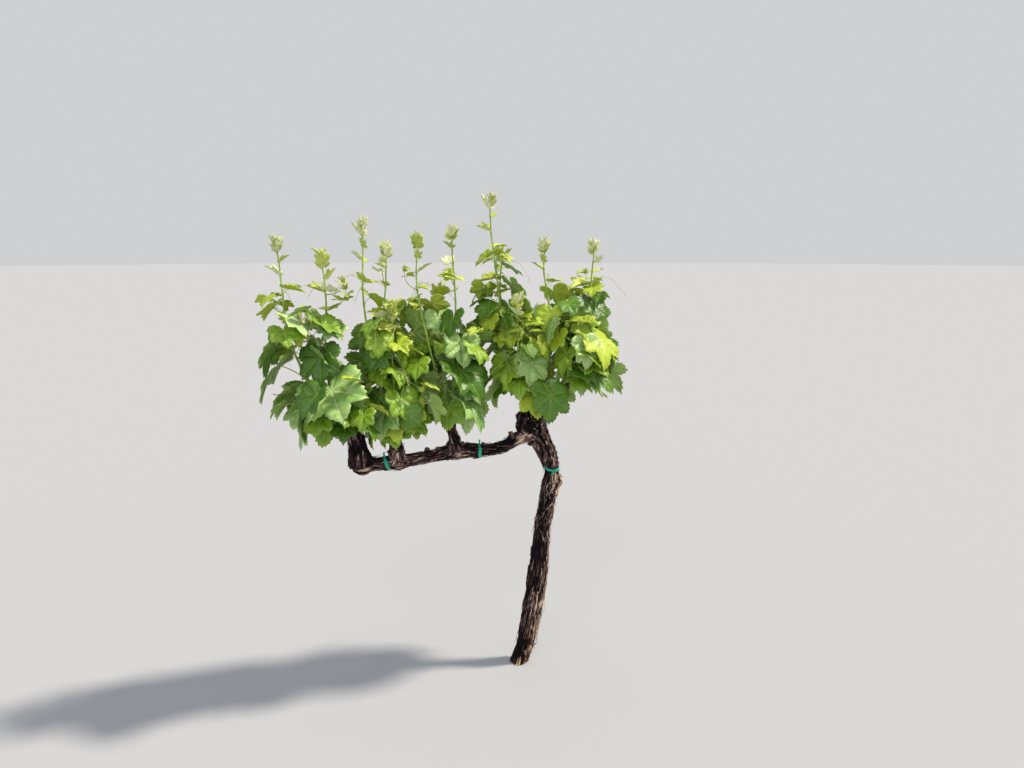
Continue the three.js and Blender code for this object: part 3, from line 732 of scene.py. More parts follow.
def add_wood(name, surface, finish):
    """One limb as a closed mesh with flat ends, which stands for its CAD node."""
    rings, around = surface.relief.shape
    batch = Batch()
    batch.put(surface.points)
    batch.join(grid_faces(rings, around, wrap=True)[:, ::-1 if name == "trunk" else 1])
    first, last = np.arange(around), np.arange(around) + (rings - 1) * around
    ends = (first, last[::-1]) if name == "trunk" else (first[::-1], last)
    for ring in ends:
        batch.join(ring, smooth=False)
    piece = add_piece(f"{name}_wood", batch, [finish], "bark", name)
    low, high = RELIEF_RANGE
    # Painted sunlight: the bark is painted paler on the side towards the key light, fading out from 620 to
    # 800 mm up, where the leaves' shade falls
    out_of_leaf_shade = 1 - ease(*PAINTED_SUN_SIDE.below, surface.points[..., 2])
    painted_sunlight = PAINTED_SUN_SIDE.share * (surface.outward @ PAINTED_SUN_SIDE.way) * out_of_leaf_shade
    shown = (surface.relief - low) / (high - low) + painted_sunlight
    add_attribute(piece, "relief", np.clip(shown, 0, 1).ravel())
    add_attribute(piece, "grain", surface.grain.reshape(-1, 3))
    return piece


def add_shreds(batch, surface, count, rng, spans=(5, 19), hang=0.5, sunny=False):
    """Loose strips of bark that cling by one end and lift at the other. Spans are in rings of the surface,
    hang is the share that cling by their upper end, and sunny ones are all on the side painted paler as
    sunlit."""
    rings, around = surface.relief.shape
    u = np.linspace(0, 1, SHRED.steps)
    for _ in range(count):
        span = min(rng.uniform(*spans), rings - 6)
        start = rng.uniform(2, rings - span - 3)
        along = np.linspace(start, start + span, SHRED.steps)
        side = rng.normal(PAINTED_SUN_SIDE.turn, PAINTED_SUN_SIDE.spread) / TAU if sunny else rng.random()
        stray = rng.normal(0, SHRED.stray) * u
        wave = rng.normal(0, SHRED.wave) * np.sin(u * rng.uniform(*SHRED.waves))
        column = side * around + stray + wave
        i, j, f = along.astype(int), np.round(column).astype(int) % around, (along % 1)[:, None]
        outward = mix(surface.outward[i, j], surface.outward[i + 1, j], f)
        axis = mix(surface.line[i], surface.line[i + 1], f)
        high = axis + outward * (surface.radius[i, j] + SHRED.off)[:, None]
        way = np.gradient(axis, axis=0)
        way /= np.linalg.norm(way, axis=1)[:, None]
        beside = np.cross(outward, way)
        free = u[::-1] if rng.random() < hang else u
        loose = PAINTED_SUN_SIDE.loose if sunny else 1
        lift = loose * rng.gamma(*SHRED.lift) * free**2 + SHRED.least_lift * free
        curl = loose * rng.normal(0, SHRED.curl) * free**2 + rng.normal(0, 1) * np.sin(free * SHRED.ripples)
        middle = high + outward * lift[:, None] + beside * curl[:, None]
        tears = np.sin(free * rng.uniform(*SHRED.tears) + rng.random() * 6)
        ragged = 1 - SHRED.torn + SHRED.torn * tears
        half = rng.uniform(*SHRED.half) * (1 - SHRED.narrower * free**2) * ragged
        half[[0, -1]] *= SHRED.end
        thick = rng.uniform(*SHRED.thick)
        lean = rng.normal(0, SHRED.lean) * free + rng.normal(0, SHRED.foot_lean)
        tilted = beside * np.cos(lean)[:, None] + outward * np.sin(lean)[:, None]
        section = [
            middle - tilted * half[:, None], middle + outward * thick,
            middle + tilted * half[:, None], middle - outward * thick,
        ]
        # Painted sunlight: pale shreds are likelier on the side towards the key light
        finish = int(rng.random() < PALE_SHREDS + PAINTED_SUN_SIDE.pale * (outward[0] @ PAINTED_SUN_SIDE.way))
        add_rings(batch, np.stack(section, axis=1), finish)


# Tie tape: soft plastic, pulled tight round the wood and knotted. Where each knot sits and which way the
# band leans are turns round the wood, in radians. Lean and dip towards the knot are in millimetres. A tail
# is given by how far it goes aside and up, as shares of its length, and by its length in millimetres
TAPE = SimpleNamespace(
    thickness=0.9, off=0.5, knot=4.6, pinched=0.8, narrower=0.4, ripple=0.8, crease=0.7, edge=0.5,
    tail_width=3.6, tail_foot=0.55, tail_bow=0.45, cup=0.9,
)
TIES = {
    "tie_trunk": SimpleNamespace(
        knot=1.62, dip=7, lean=4, lean_turn=3.5, tails=((-0.75, -0.9, 15), (1.2, 0.35, 9))
    ),
    "tie_cordon_near": SimpleNamespace(
        knot=4.3, dip=0, lean=2, lean_turn=-1.57, tails=((0.5, 0.5, 17), (-0.8, 0.3, 11))
    ),
    "tie_cordon_far": SimpleNamespace(
        knot=4.3, dip=0, lean=8, lean_turn=-1.57, tails=((0.7, 0.2, 16), (-0.6, 0.6, 9))
    ),
}


def add_tie(name, surface, centre, finish):
    """A band that follows the wood, creased along its edges and pinched at its knot, with two tails."""
    tie = TIES[name]
    rings, around = surface.relief.shape
    middle = int(np.argmin(np.linalg.norm(surface.line - centre, axis=1)))
    way = surface.line[middle + 2] - surface.line[middle - 2]
    way /= np.linalg.norm(way)
    turn = np.arange(around) / around * TAU
    off_knot = np.angle(np.exp(1j * (turn - tie.knot)))
    pinch = np.exp(-((off_knot / TAPE.pinched) ** 2))
    sway = tie.lean * np.cos(turn - tie.lean_turn) - tie.dip * pinch + TAPE.ripple * np.sin(turn * 5)
    spacing = np.linalg.norm(surface.line[middle + 1] - surface.line[middle])
    row_at = np.clip(np.round(middle + sway / spacing).astype(int), 0, rings - 1)
    column = np.arange(around)
    outline = np.linalg.norm(surface.points[row_at, column] - surface.line[row_at], axis=1)
    spread = np.arange(-4, 5)
    held = np.max([np.roll(outline, int(k)) for k in spread], axis=0)
    held = np.mean([np.roll(held, int(k)) for k in spread], axis=0)
    outward = surface.outward[middle]
    rows = np.linspace(-1, 1, 7)
    narrow = 1 - TAPE.narrower * pinch
    batch = Batch()
    skins = []
    for skin in (TAPE.thickness, 0):
        points = []
        for row in rows:
            crease = TAPE.crease * np.cos(row * 5 + 3 * turn) + TAPE.edge * row**2
            reach = held + skin + TAPE.off + crease * 0.6
            shift = row * TIE_WIDTH / 2 * narrow + sway
            points.append(surface.line[middle] + outward * reach[:, None] + way * shift[:, None])
        skins.append(batch.put(np.array(points)))
    facing = np.dot(np.cross(outward[0], outward[around // 4]), way) > 0
    sheet = grid_faces(len(rows), around, wrap=True)
    outer, inner = (sheet, sheet[:, ::-1]) if facing else (sheet[:, ::-1], sheet)
    batch.join(outer + skins[0])
    batch.join(inner + skins[1])
    for row, flip in ((0, facing), (len(rows) - 1, not facing)):
        i = np.arange(around)
        a, b = i + row * around, (i + 1) % around + row * around
        wall = np.stack([a + skins[1], b + skins[1], b + skins[0], a + skins[0]], axis=1)
        batch.join(wall if flip else wall[:, ::-1], smooth=False)
    knot = int(np.argmin(np.abs(off_knot)))
    out = outward[knot]
    seat = surface.line[middle] + out * (held[knot] + TAPE.knot * 0.5) + way * sway[knot]
    beside = np.cross(way, out)
    ball = np.linspace(-1, 1, 9)
    bulge = TAPE.knot * np.sqrt(np.maximum(1 - ball**2, 0.02)) * (1 + 0.18 * np.cos(ball * 9))
    add_tube(batch, seat + np.outer(ball * TAPE.knot * 1.15, beside), bulge, 12)
    for aside, rise, length in tie.tails:
        u = np.linspace(0, 1, 10)
        aim = way if tie.dip else UP
        bend = np.outer(aside * (0.6 * u + 0.5 * u**2), beside) + np.outer(rise * u, aim)
        path = seat + (bend + np.outer(TAPE.tail_bow * np.sin(u * 2.6), out)) * length
        wide = TAPE.tail_width * mix(TAPE.tail_foot, 1, u)
        flat = np.cross(np.gradient(path, axis=0), out)
        flat /= np.linalg.norm(flat, axis=1)[:, None]
        thin = np.cross(flat, np.gradient(path, axis=0))
        thin *= TAPE.thickness / 2 / np.linalg.norm(thin, axis=1)[:, None]
        half, cup = flat * wide[:, None], out * TAPE.cup
        section = [path - half + cup, path + thin, path + half + cup, path - thin]
        add_rings(batch, np.stack(section, axis=1))
    add_piece(f"{name}_tape", batch, [finish], "tie", name)


# A blade's lobes, bays and the ends beside its stalk: degrees off the midrib, share of the reach. A level
# of detail counts the steps from one of these to the next, a tooth or a notch each, and then the rings
BLADE_KEYS = np.array([(0, 1), (27, 0.69), (49, 0.92), (77, 0.64), (103, 0.79), (150, 0.58), (173, 0.22)])
BLADE_DETAIL = {
    "large": ((7, 5, 7, 5, 9, 3), 5),
    "medium": ((4, 3, 4, 3, 5, 2), 4),
    "small": ((3, 1, 3, 1, 3, 1), 3),
}
LARGE_SHARE = 0.58
MEDIUM_SHARE = 0.3
LOBE_ROUND = 0.04
TOOTH = 0.029
TOOTH_VARIES = 0.7
BLADE_THICKNESS = 0.4
YOUNG_NARROWER = 0.22
MAIN_VEINS = np.radians([0, 49, -49, 103, -103, 150, -150])
SIDE_VEIN_ANGLE = math.radians(47)
SIDE_VEIN_SPACING = 0.155
YOUNG_LOBES = 0.8
YOUNG_TEETH = 2.2
VEIN = SimpleNamespace(thick=1.15, length=0.97, sunk=0.55, outer=0.75, taper=0.72)
STALK = SimpleNamespace(radius=1.45, foot=0.75, top=0.2, least=0.36, bow=0.07)
TUFT = SimpleNamespace(
    shares=(0.13, 0.19, 0.25, 0.31, 0.35), varies=(0.9, 1.15), down=(0.0, 0.1, 0.3, 0.6, 1.0),
    start=0.955, steep=(1.25, 1.45), open_each=0.1, stalk=0.35, fold=(0.65, 1.0), curl=(-0.3, 0.1),
    turn=2.4, turn_varies=0.25, twig=0.7, twig_leaves=2,
)
QUILT = SimpleNamespace(
    bulge=0.044, bulge_width=0.1, starts=(0.05, 0.3), groove=0.016, groove_width=0.025,
    broad_wave=0.07, fine_wave=0.035,
)
PUCKER = (0.7, 1.3)
# How leaves are parted: the least share of one that others move for, the rings and the count of points that
# tell, the gap and the longest move in millimetres, and the whole way as a share of the moved leaf's reach
PART = SimpleNamespace(least=0.3, rings=(0.4, 0.75, 1.0), points=3, gap=2.5, most=38, whole=0.5, passes=3)


def blade_outline(steps):
    """Angles round a blade, its smooth rim there, and where teeth stand out or notches go in."""
    angles, smooth, teeth, number = [], [], [], 0
    for (a, ra), (b, rb), count in zip(BLADE_KEYS[:-1], BLADE_KEYS[1:], steps):
        for k in range(count):
            u = k / count
            angles.append(mix(a, b, u))
            smooth.append(mix(ra, rb, u) + LOBE_ROUND * math.sin(math.pi * u))
            teeth.append(1 if number % 2 == 0 else -1)
            number += 1
    angles.append(BLADE_KEYS[-1][0])
    smooth.append(BLADE_KEYS[-1][1])
    teeth.append(0)
    angles, smooth, teeth = (np.array(values, float) for values in (angles, smooth, teeth))
    around = np.concatenate([-angles[:0:-1], angles])
    rim = np.concatenate([smooth[:0:-1], smooth])
    bite = np.concatenate([teeth[:0:-1], teeth])
    return np.radians(around), rim, bite


def blade_template(steps, rings):
    """The faces of a blade as one closed thin solid: upper skin, under skin and the wall between them."""
    angle, rim, bite = blade_outline(steps)
    around = len(angle)
    upper = grid_faces(around, rings) + 1
    spoke = np.arange(around - 1) * rings + 1
    fan = np.stack([np.zeros_like(spoke), spoke, spoke + rings], axis=1)
    skin = 1 + around * rings
    first_ray = np.arange(rings) + 1
    last_ray = np.arange(rings) + 1 + (around - 1) * rings
    rim_line = np.arange(around) * rings + rings
    loop = np.concatenate([[0], first_ray[:-1], rim_line, last_ray[-2::-1]])
    after = np.roll(loop, -1)
    wall = np.stack([loop, loop + skin, after + skin, after], axis=1)
    shares = np.linspace(0, 1, rings + 1)[1:]
    return SimpleNamespace(
        angle=angle, rim=rim, bite=bite, shares=shares, upper=upper, fan=fan, wall=wall, skin=skin
    )


BLADES = {name: blade_template(*detail) for name, detail in BLADE_DETAIL.items()}


def blade_lift(along, aside, leaf):
    """How far a blade stands off its bent plane: puckered between the veins, wavy towards the rim."""
    reach = np.hypot(along, aside)
    angle = np.arctan2(aside, along)
    off = np.abs((angle[..., None] - MAIN_VEINS + math.pi) % TAU - math.pi)
    nearest = off.min(axis=-1)
    across = reach * np.sin(np.minimum(nearest, math.pi / 2))
    swollen = 1 - np.exp(-((across / QUILT.bulge_width) ** 2))
    bulge = QUILT.bulge * swollen * ease(*QUILT.starts, reach)
    groove = QUILT.groove * np.exp(-((across / QUILT.groove_width) ** 2))
    broad = QUILT.broad_wave * reach**3 * np.sin(3 * angle + leaf.phase)
    fine = QUILT.fine_wave * reach**4 * np.sin(8 * angle - 2 * leaf.phase)
    return (bulge - groove + (broad + fine)) * leaf.pucker


def add_blade(batch, leaf, upper, under, rng):
    """A leaf's blade: a thin solid with a toothed rim, and its skins in two finishes."""
    size = "large" if leaf.share > LARGE_SHARE else "medium" if leaf.share > MEDIUM_SHARE else "small"
    blade = BLADES[size]
    uneven = 1 + TOOTH_VARIES * rng.uniform(-1, 1, len(blade.bite))
    tooth = TOOTH * blade.bite * uneven * (1 + YOUNG_TEETH * leaf.young)
    shares = blade.shares[None, :]
    rim = blade.rim ** (1 + YOUNG_LOBES * leaf.young)
    reach = shares * rim[:, None] * (1 + tooth[:, None] * shares**7)
    along, aside = reach * np.cos(blade.angle[:, None]), reach * np.sin(blade.angle[:, None])
    aside = aside * (1 - YOUNG_NARROWER * leaf.young)
    top = on_blade(leaf, along, aside, blade_lift(along, aside, leaf)).reshape(-1, 3)
    top = np.concatenate([[leaf.joint], top])
    first = batch.put(top)
    batch.put(top - leaf.normal * BLADE_THICKNESS)
    place = np.stack([along, aside, np.full_like(along, leaf.phase / TAU)], axis=-1).reshape(-1, 3)
    batch.marks += [np.concatenate([[(0, 0, leaf.phase / TAU)], place])] * 2
    batch.join(blade.upper + first, upper)
    batch.join(blade.fan + first, upper)
    batch.join(blade.upper[:, ::-1] + first + blade.skin, under)
    batch.join(blade.fan[:, ::-1] + first + blade.skin, under)
    batch.join(blade.wall + first, under, smooth=False)


def part_leaves(leaves):
    """Where a leaf cuts a little way through a larger one, moves it clear, to the side where most of it is.
    That can push it into a third one, so there is more than one pass."""
    grid = BLADES["small"]
    reach = np.array(PART.rings)[:, None] * grid.rim
    along, aside = reach * np.cos(grid.angle), reach * np.sin(grid.angle)
    points = np.stack([
        on_blade(leaf, along, aside, blade_lift(along, aside, leaf)).reshape(-1, 3) for leaf in leaves
    ])
    middles = points.mean(axis=1)
    moved = np.zeros_like(middles)
    reaches = np.array([leaf.reach for leaf in leaves])
    order = sorted(range(len(leaves)), key=lambda i: -leaves[i].share)
    large = sum(leaf.share >= PART.least for leaf in leaves)
    for rank, i in [*enumerate(order[:large])] * PART.passes:
        upper = leaves[i]
        rest = np.array(order[rank + 1 :])
        rest = rest[np.linalg.norm(middles[rest] - middles[i], axis=1) < reaches[rest] + reaches[i]]
        away = points[rest] - upper.joint
        x, y = away @ upper.midrib / upper.reach, away @ upper.side / upper.reach
        inside = np.hypot(x, y) < rim_reach(np.arctan2(y, x))
        bent = upper.fold * np.abs(y) - upper.curl * np.maximum(x, 0) ** 2 + blade_lift(x, y, upper)
        height = away @ upper.normal - bent * upper.reach
        for j, over, rows in zip(rest, inside, height):
            if over.sum() < PART.points:
                continue
            low, high = rows[over].min(), rows[over].max()
            if low > 0 or high < 0:
                continue
            shift = upper.normal * (-high - PART.gap if high < -low else PART.gap - low)
            whole = np.linalg.norm(moved[j] + shift)
            if np.linalg.norm(shift) < PART.most and whole < PART.whole * reaches[j]:
                leaves[j].joint = leaves[j].joint + shift
                for place in (points, middles, moved):
                    place[j] += shift


def rim_reach(angle):
    """How far a blade's rim is from its stalk, as a share of its reach, at an angle off the midrib."""
    return np.interp(np.abs(np.degrees(angle)), BLADE_KEYS[:, 0], BLADE_KEYS[:, 1])


def add_veins(batch, leaf):
    """Main ribs that just show above a blade and stand out well below it."""
    if leaf.share < MEDIUM_SHARE:
        return
    large = leaf.share > LARGE_SHARE
    thick = VEIN.thick * leaf.share
    for vein in MAIN_VEINS if large else MAIN_VEINS[:5]:
        u = np.linspace(0, 1, 7 if large else 5)
        reach = u * rim_reach(vein) ** (1 + YOUNG_LOBES * leaf.young) * VEIN.length
        along, aside = reach * math.cos(vein), reach * math.sin(vein) * (1 - YOUNG_NARROWER * leaf.young)
        high = on_blade(leaf, along, aside, blade_lift(along, aside, leaf))
        slim = VEIN.outer if abs(vein) > 2 else 1
        add_tube(batch, high - leaf.normal * (VEIN.sunk * thick), thick * slim * (1 - VEIN.taper * u), 4)


def add_stalk(batch, leaf):
    """A leaf stalk, swollen where it leaves the shoot and bowed by its blade."""
    u = np.linspace(0, 1, 8 if leaf.share > LARGE_SHARE else 5)
    length = np.linalg.norm(leaf.joint - leaf.node)
    line = mix(leaf.node, leaf.joint, u[:, None]) + np.outer(np.sin(math.pi * u) * STALK.bow * length, UP)
    line[-1] -= leaf.normal * BLADE_THICKNESS
    girth = STALK.radius + STALK.foot * (1 - u) ** 5 + STALK.top * u**6
    sides = 6 if leaf.share > MEDIUM_SHARE else 4
    add_tube(batch, line, max(leaf.share, STALK.least) * girth, sides)


def tuft(tip, base, size, rng):
    """Young leaves at a growing tip: small, folded nearly shut, and upright round the tip."""
    leaves = []
    turn = rng.uniform(0, TAU)
    for number in range(len(TUFT.shares) if size == 1 else TUFT.twig_leaves):
        share = TUFT.shares[number] * size * rng.uniform(*TUFT.varies)
        node = mix(tip, base, TUFT.down[number])
        out = turned(turn)
        steep = rng.uniform(*TUFT.steep) - TUFT.open_each * number
        midrib = out * math.cos(steep) + UP * math.sin(steep)
        normal = UP * math.cos(steep) - out * math.sin(steep)
        reach = LEAF_REACH * share
        leaves.append(SimpleNamespace(
            node=node, joint=node + midrib * reach * TUFT.stalk, midrib=midrib, normal=normal,
            side=np.cross(normal, midrib), reach=reach, share=share, young=size,
            fold=rng.uniform(*TUFT.fold), curl=rng.uniform(*TUFT.curl),
        ))
        turn += TUFT.turn + rng.normal(0, TUFT.turn_varies)
    return leaves


# Shoots swell and bend at their nodes. Lengths and sizes in millimetres
NODE = SimpleNamespace(swell=0.3, swell_length=7, bend=1.6, bend_length=22)
SHOOT = SimpleNamespace(points=120, slimmer=0.88, soft_points=6, soft_tip=0.35)
TENDRIL_RADII = (1.25, 0.65)
COIL = SimpleNamespace(starts=((25, 1.0), (12, 0.8)), turns=(1.1, 2.0), radius=8.5, lead=24, shut=0.4)
BUDS = SimpleNamespace(
    first=6, end=22, stem_radii=(1.5, 0.6), arm=(11.5, 3.5), varies=(0.7, 1.05),
    arm_radii=(0.6, 0.45, 0.35), apart=1.9, size=(1.2, 1.8),
)


def add_shoot(batch, shoot):
    """A green shoot, thick at each node and a little bent there, with a soft tip."""
    t = np.linspace(0, 1, SHOOT.points)
    line = np.array([shoot_at(shoot.fork, shoot.tip, value) for value in t])
    radii = mix(*SHOOT_RADII, t) * SHOOT.slimmer
    length = np.linalg.norm(shoot.tip - shoot.fork)
    for node in shoot.nodes:
        near = np.exp(-(((t - node.t) * length / NODE.swell_length) ** 2))
        radii = radii * (1 + NODE.swell * near)
        bent = np.exp(-(((t - node.t) * length / NODE.bend_length) ** 2))
        line = line + np.outer(bent, turned(node.facing)) * NODE.bend * (1 - 0.5 * node.t)
    radii[-SHOOT.soft_points :] *= np.linspace(1, SHOOT.soft_tip, SHOOT.soft_points)
    add_tube(batch, line, radii, 12)


def add_tendril(batch, trail, rng):
    """A tendril that forks, each end with a loose coil."""
    whole = line_points(trail, 26)
    add_tube(batch, whole, np.linspace(*TENDRIL_RADII, len(whole)), 6)
    for start, size in COIL.starts:
        base, way = whole[start], whole[start] - whole[start - 2]
        way = way / np.linalg.norm(way)
        beside = np.cross(way, UP)
        beside /= np.linalg.norm(beside)
        above = np.cross(beside, way)
        u = np.linspace(0, 1, 34)
        turn = u**1.6 * TAU * rng.uniform(*COIL.turns) * rng.choice([-1, 1])
        radius = COIL.radius * size
        coil = np.outer(radius * np.sin(turn), above) + np.outer(radius * (1 - np.cos(turn)), beside)
        lead = np.outer(COIL.lead * size * u * (1 - 0.4 * u), way)
        tighter = mix(COIL.shut, 1, 1 - u)[:, None]
        add_tube(batch, base + lead + coil * tighter, TENDRIL_RADII[1] - 0.3 * u, 5)


def ball_template():
    """A small round bud: the corners and faces of a twenty-sided ball."""
    g = (1 + 5**0.5) / 2
    corners = np.array([
        (-1, g, 0), (1, g, 0), (-1, -g, 0), (1, -g, 0), (0, -1, g), (0, 1, g),
        (0, -1, -g), (0, 1, -g), (g, 0, -1), (g, 0, 1), (-g, 0, -1), (-g, 0, 1),
    ]) / math.hypot(1, g)
    faces = np.array([
        (0, 11, 5), (0, 5, 1), (0, 1, 7), (0, 7, 10), (0, 10, 11), (1, 5, 9), (5, 11, 4), (11, 10, 2),
        (10, 7, 6), (7, 1, 8), (3, 9, 4), (3, 4, 2), (3, 2, 6), (3, 6, 8), (3, 8, 9), (4, 9, 5), (2, 4, 11),
        (6, 2, 10), (8, 6, 7), (9, 8, 1),
    ])
    return corners, faces


def add_cluster(batch, trail, rng):
    """A cluster of flower buds: a stem with short arms, and buds in bunches of a few at their ends."""
    corners, faces = ball_template()
    stem = line_points(trail, BUDS.end)
    add_tube(batch, stem, np.linspace(*BUDS.stem_radii, len(stem)), 6)
    for i in range(BUDS.first, BUDS.end):
        share = (i - BUDS.first) / (BUDS.end - BUDS.first - 1)
        envelope = mix(*BUDS.arm, share) * rng.uniform(*BUDS.varies)
        for _ in range(3):
            way = rng.normal(size=3)
            way /= np.linalg.norm(way)
            end = stem[i] + way * envelope
            add_tube(batch, [stem[i], mix(stem[i], end, 0.5), end], BUDS.arm_radii, 3)
            for _ in range(3):
                place = end + rng.normal(size=3) * BUDS.apart
                first = batch.put(place + corners * rng.uniform(*BUDS.size))
                batch.join(faces + first, 1)


def linear(code):
    """A colour such as 7DA23A, as it is seen, turned to linear light."""
    parts = [int(code[i : i + 2], 16) / 255 for i in (0, 2, 4)]
    return [c / 12.92 if c <= 0.04045 else ((c + 0.055) / 1.055) ** 2.4 for c in parts] + [1.0]


def add_node(tree, kind, inputs=None, stops=(), **settings):
    """A node with its settings. Inputs are set to values, or linked to outputs or to a node's first one.
    Stops are the places and colours of a ramp."""
    node = tree.nodes.new(kind)
    for name, value in settings.items():
        setattr(node, name, value)
    elements = node.color_ramp.elements if stops else []
    while len(elements) < len(stops):
        elements.new(0.5)
    for element, (place, code) in zip(elements, stops):
        element.position = place
        element.color = linear(code)
    for key, value in (inputs or {}).items():
        if isinstance(value, bpy.types.Node):
            value = value.outputs[0]
        if isinstance(value, bpy.types.NodeSocket):
            tree.links.new(value, node.inputs[key])
        else:
            node.inputs[key].default_value = value
    return node


def new_material(name):
    """An empty material: its node tree, ready for a surface."""
    material = bpy.data.materials.new(name)
    material.use_nodes = True
    material.node_tree.nodes.clear()
    return material, material.node_tree


# The bark's colours from its crevices outwards, and those of its warmer patches. The near-black in the
# crevices is painted shade over the bark's own dark brown there
BARK_STOPS = (0.24, 0.42, 0.56, 0.7, 0.86)
GREY_BARK = [*zip(BARK_STOPS, ("070306", "251619", "4C363B", "8C7168", "D6BEA6"))]
WARM_BARK = [*zip(BARK_STOPS, ("0A0504", "2B1915", "63443A", "A07C62", "DCC09C"))]


def old_vine_bark():
    """Old vine bark, grey and shaggy: crevices painted near-black as shade, purple-brown shreds, paler
    where they weather, and painted paler still on the trunk's sunlit side.
    Fibres are 1.7 mm wide, coarser than real ones so that they show. Patches of 45 mm are warmer, most of
    them low on the trunk, where it rubs."""
    material, tree = new_material("old_vine_bark")
    # The relief also carries painted sunlight: paler on the trunk's side towards the key light
    relief = add_node(tree, "ShaderNodeAttribute", attribute_name="relief").outputs["Fac"]
    grain = add_node(tree, "ShaderNodeAttribute", attribute_name="grain").outputs["Vector"]
    drawn_out = add_node(tree, "ShaderNodeMapping", {"Vector": grain, "Scale": (1 / 1.7, 1 / 1.7, 1 / 26)})
    fibres = add_node(
        tree, "ShaderNodeTexNoise", {"Vector": drawn_out, "Scale": 1.0, "Detail": 5.0, "Roughness": 0.72}
    )
    flakes = add_node(tree, "ShaderNodeTexVoronoi", {"Vector": drawn_out, "Scale": 0.42, "Randomness": 1.0})
    flake = add_node(tree, "ShaderNodeSeparateXYZ", {0: flakes.outputs["Color"]})
    streaked = add_node(tree, "ShaderNodeMath", {0: fibres, 1: 0.62, 2: relief}, operation="MULTIPLY_ADD")
    flaky = add_node(tree, "ShaderNodeMath", {0: flake, 1: 0.16, 2: streaked}, operation="MULTIPLY_ADD")
    shade = add_node(tree, "ShaderNodeMath", {0: flaky, 1: 0.39}, operation="SUBTRACT")
    grey = add_node(tree, "ShaderNodeValToRGB", {"Fac": shade}, GREY_BARK)
    warm = add_node(tree, "ShaderNodeValToRGB", {"Fac": shade}, WARM_BARK)
    place = add_node(tree, "ShaderNodeTexCoord").outputs["Object"]
    patches = add_node(tree, "ShaderNodeTexNoise", {"Vector": place, "Scale": 1 / 0.045, "Detail": 2.0})
    height = add_node(tree, "ShaderNodeSeparateXYZ", {0: place}).outputs["Z"]
    near_ground = {"Value": height, "From Min": 0.3, "From Max": 0.02, "To Min": -0.12, "To Max": 0.16}
    low = add_node(tree, "ShaderNodeMapRange", near_ground)
    warmth = add_node(tree, "ShaderNodeMath", {0: patches, 1: low}, operation="ADD")
    bare = add_node(tree, "ShaderNodeMapRange", {"Value": warmth, "From Min": 0.5, "From Max": 0.66})
    colour = add_node(tree, "ShaderNodeMix", {0: bare, 6: grey, 7: warm}, data_type="RGBA")
    rough = add_node(tree, "ShaderNodeBump", {"Height": flaky, "Strength": 0.8, "Distance": 0.002})
    surface = add_node(tree, "ShaderNodeBsdfPrincipled", {
        "Base Color": colour.outputs[2], "Roughness": 0.92, "Specular IOR Level": 0.25, "Normal": rough,
    })
    add_node(tree, "ShaderNodeOutputMaterial", {"Surface": surface})
    return material


def streaked_skin(name, size, detail, stops, roughness, strength, depth):
    """A skin with streaks of colour that stand out a little. Their size and depth are in millimetres."""
    material, tree = new_material(name)
    place = add_node(tree, "ShaderNodeTexCoord").outputs["Object"]
    streaks = add_node(
        tree, "ShaderNodeTexNoise", {"Vector": place, "Scale": 1 / (size * MM), "Detail": detail}
    )
    tone = add_node(tree, "ShaderNodeValToRGB", {"Fac": streaks}, stops)
    relief = {"Height": streaks, "Strength": strength, "Distance": depth * MM}
    normal = add_node(tree, "ShaderNodeBump", relief)
    inputs = {"Base Color": tone, "Roughness": roughness, "Normal": normal}
    surface = add_node(tree, "ShaderNodeBsdfPrincipled", inputs)
    add_node(tree, "ShaderNodeOutputMaterial", {"Surface": surface})
    return material


def loose_bark(name, *tones):
    """Shed strips of bark: dry fibre, dark where it is fresh and pale tan where it has weathered."""
    return streaked_skin(name, 6, 3.0, [*zip((0.32, 0.5, 0.7), tones)], 0.95, 0.4, 0.6)


def cane_bark():
    """Last year's cane: thin tan bark with dark streaks along it."""
    stops = [(0.3, "241A14"), (0.5, "54402F"), (0.75, "8E7557")]
    return streaked_skin("cane_bark", 4, 3.0, stops, 0.8, 0.4, 0.8)


def soft_stem(name, dark, light):
    """Green stem: a smooth, slightly ribbed skin that darkens in streaks."""
    return streaked_skin(name, 14, 2.0, [(0.35, dark), (0.65, light)], 0.5, 0.2, 0.5)


def tie_tape():
    """Stretched vinyl tape: an even blue-green with fine creases and a soft shine."""
    return streaked_skin("green_vinyl_tape", 5, 3.0, [(0.3, "0B8F73"), (0.7, "22B795")], 0.38, 0.35, 0.8)


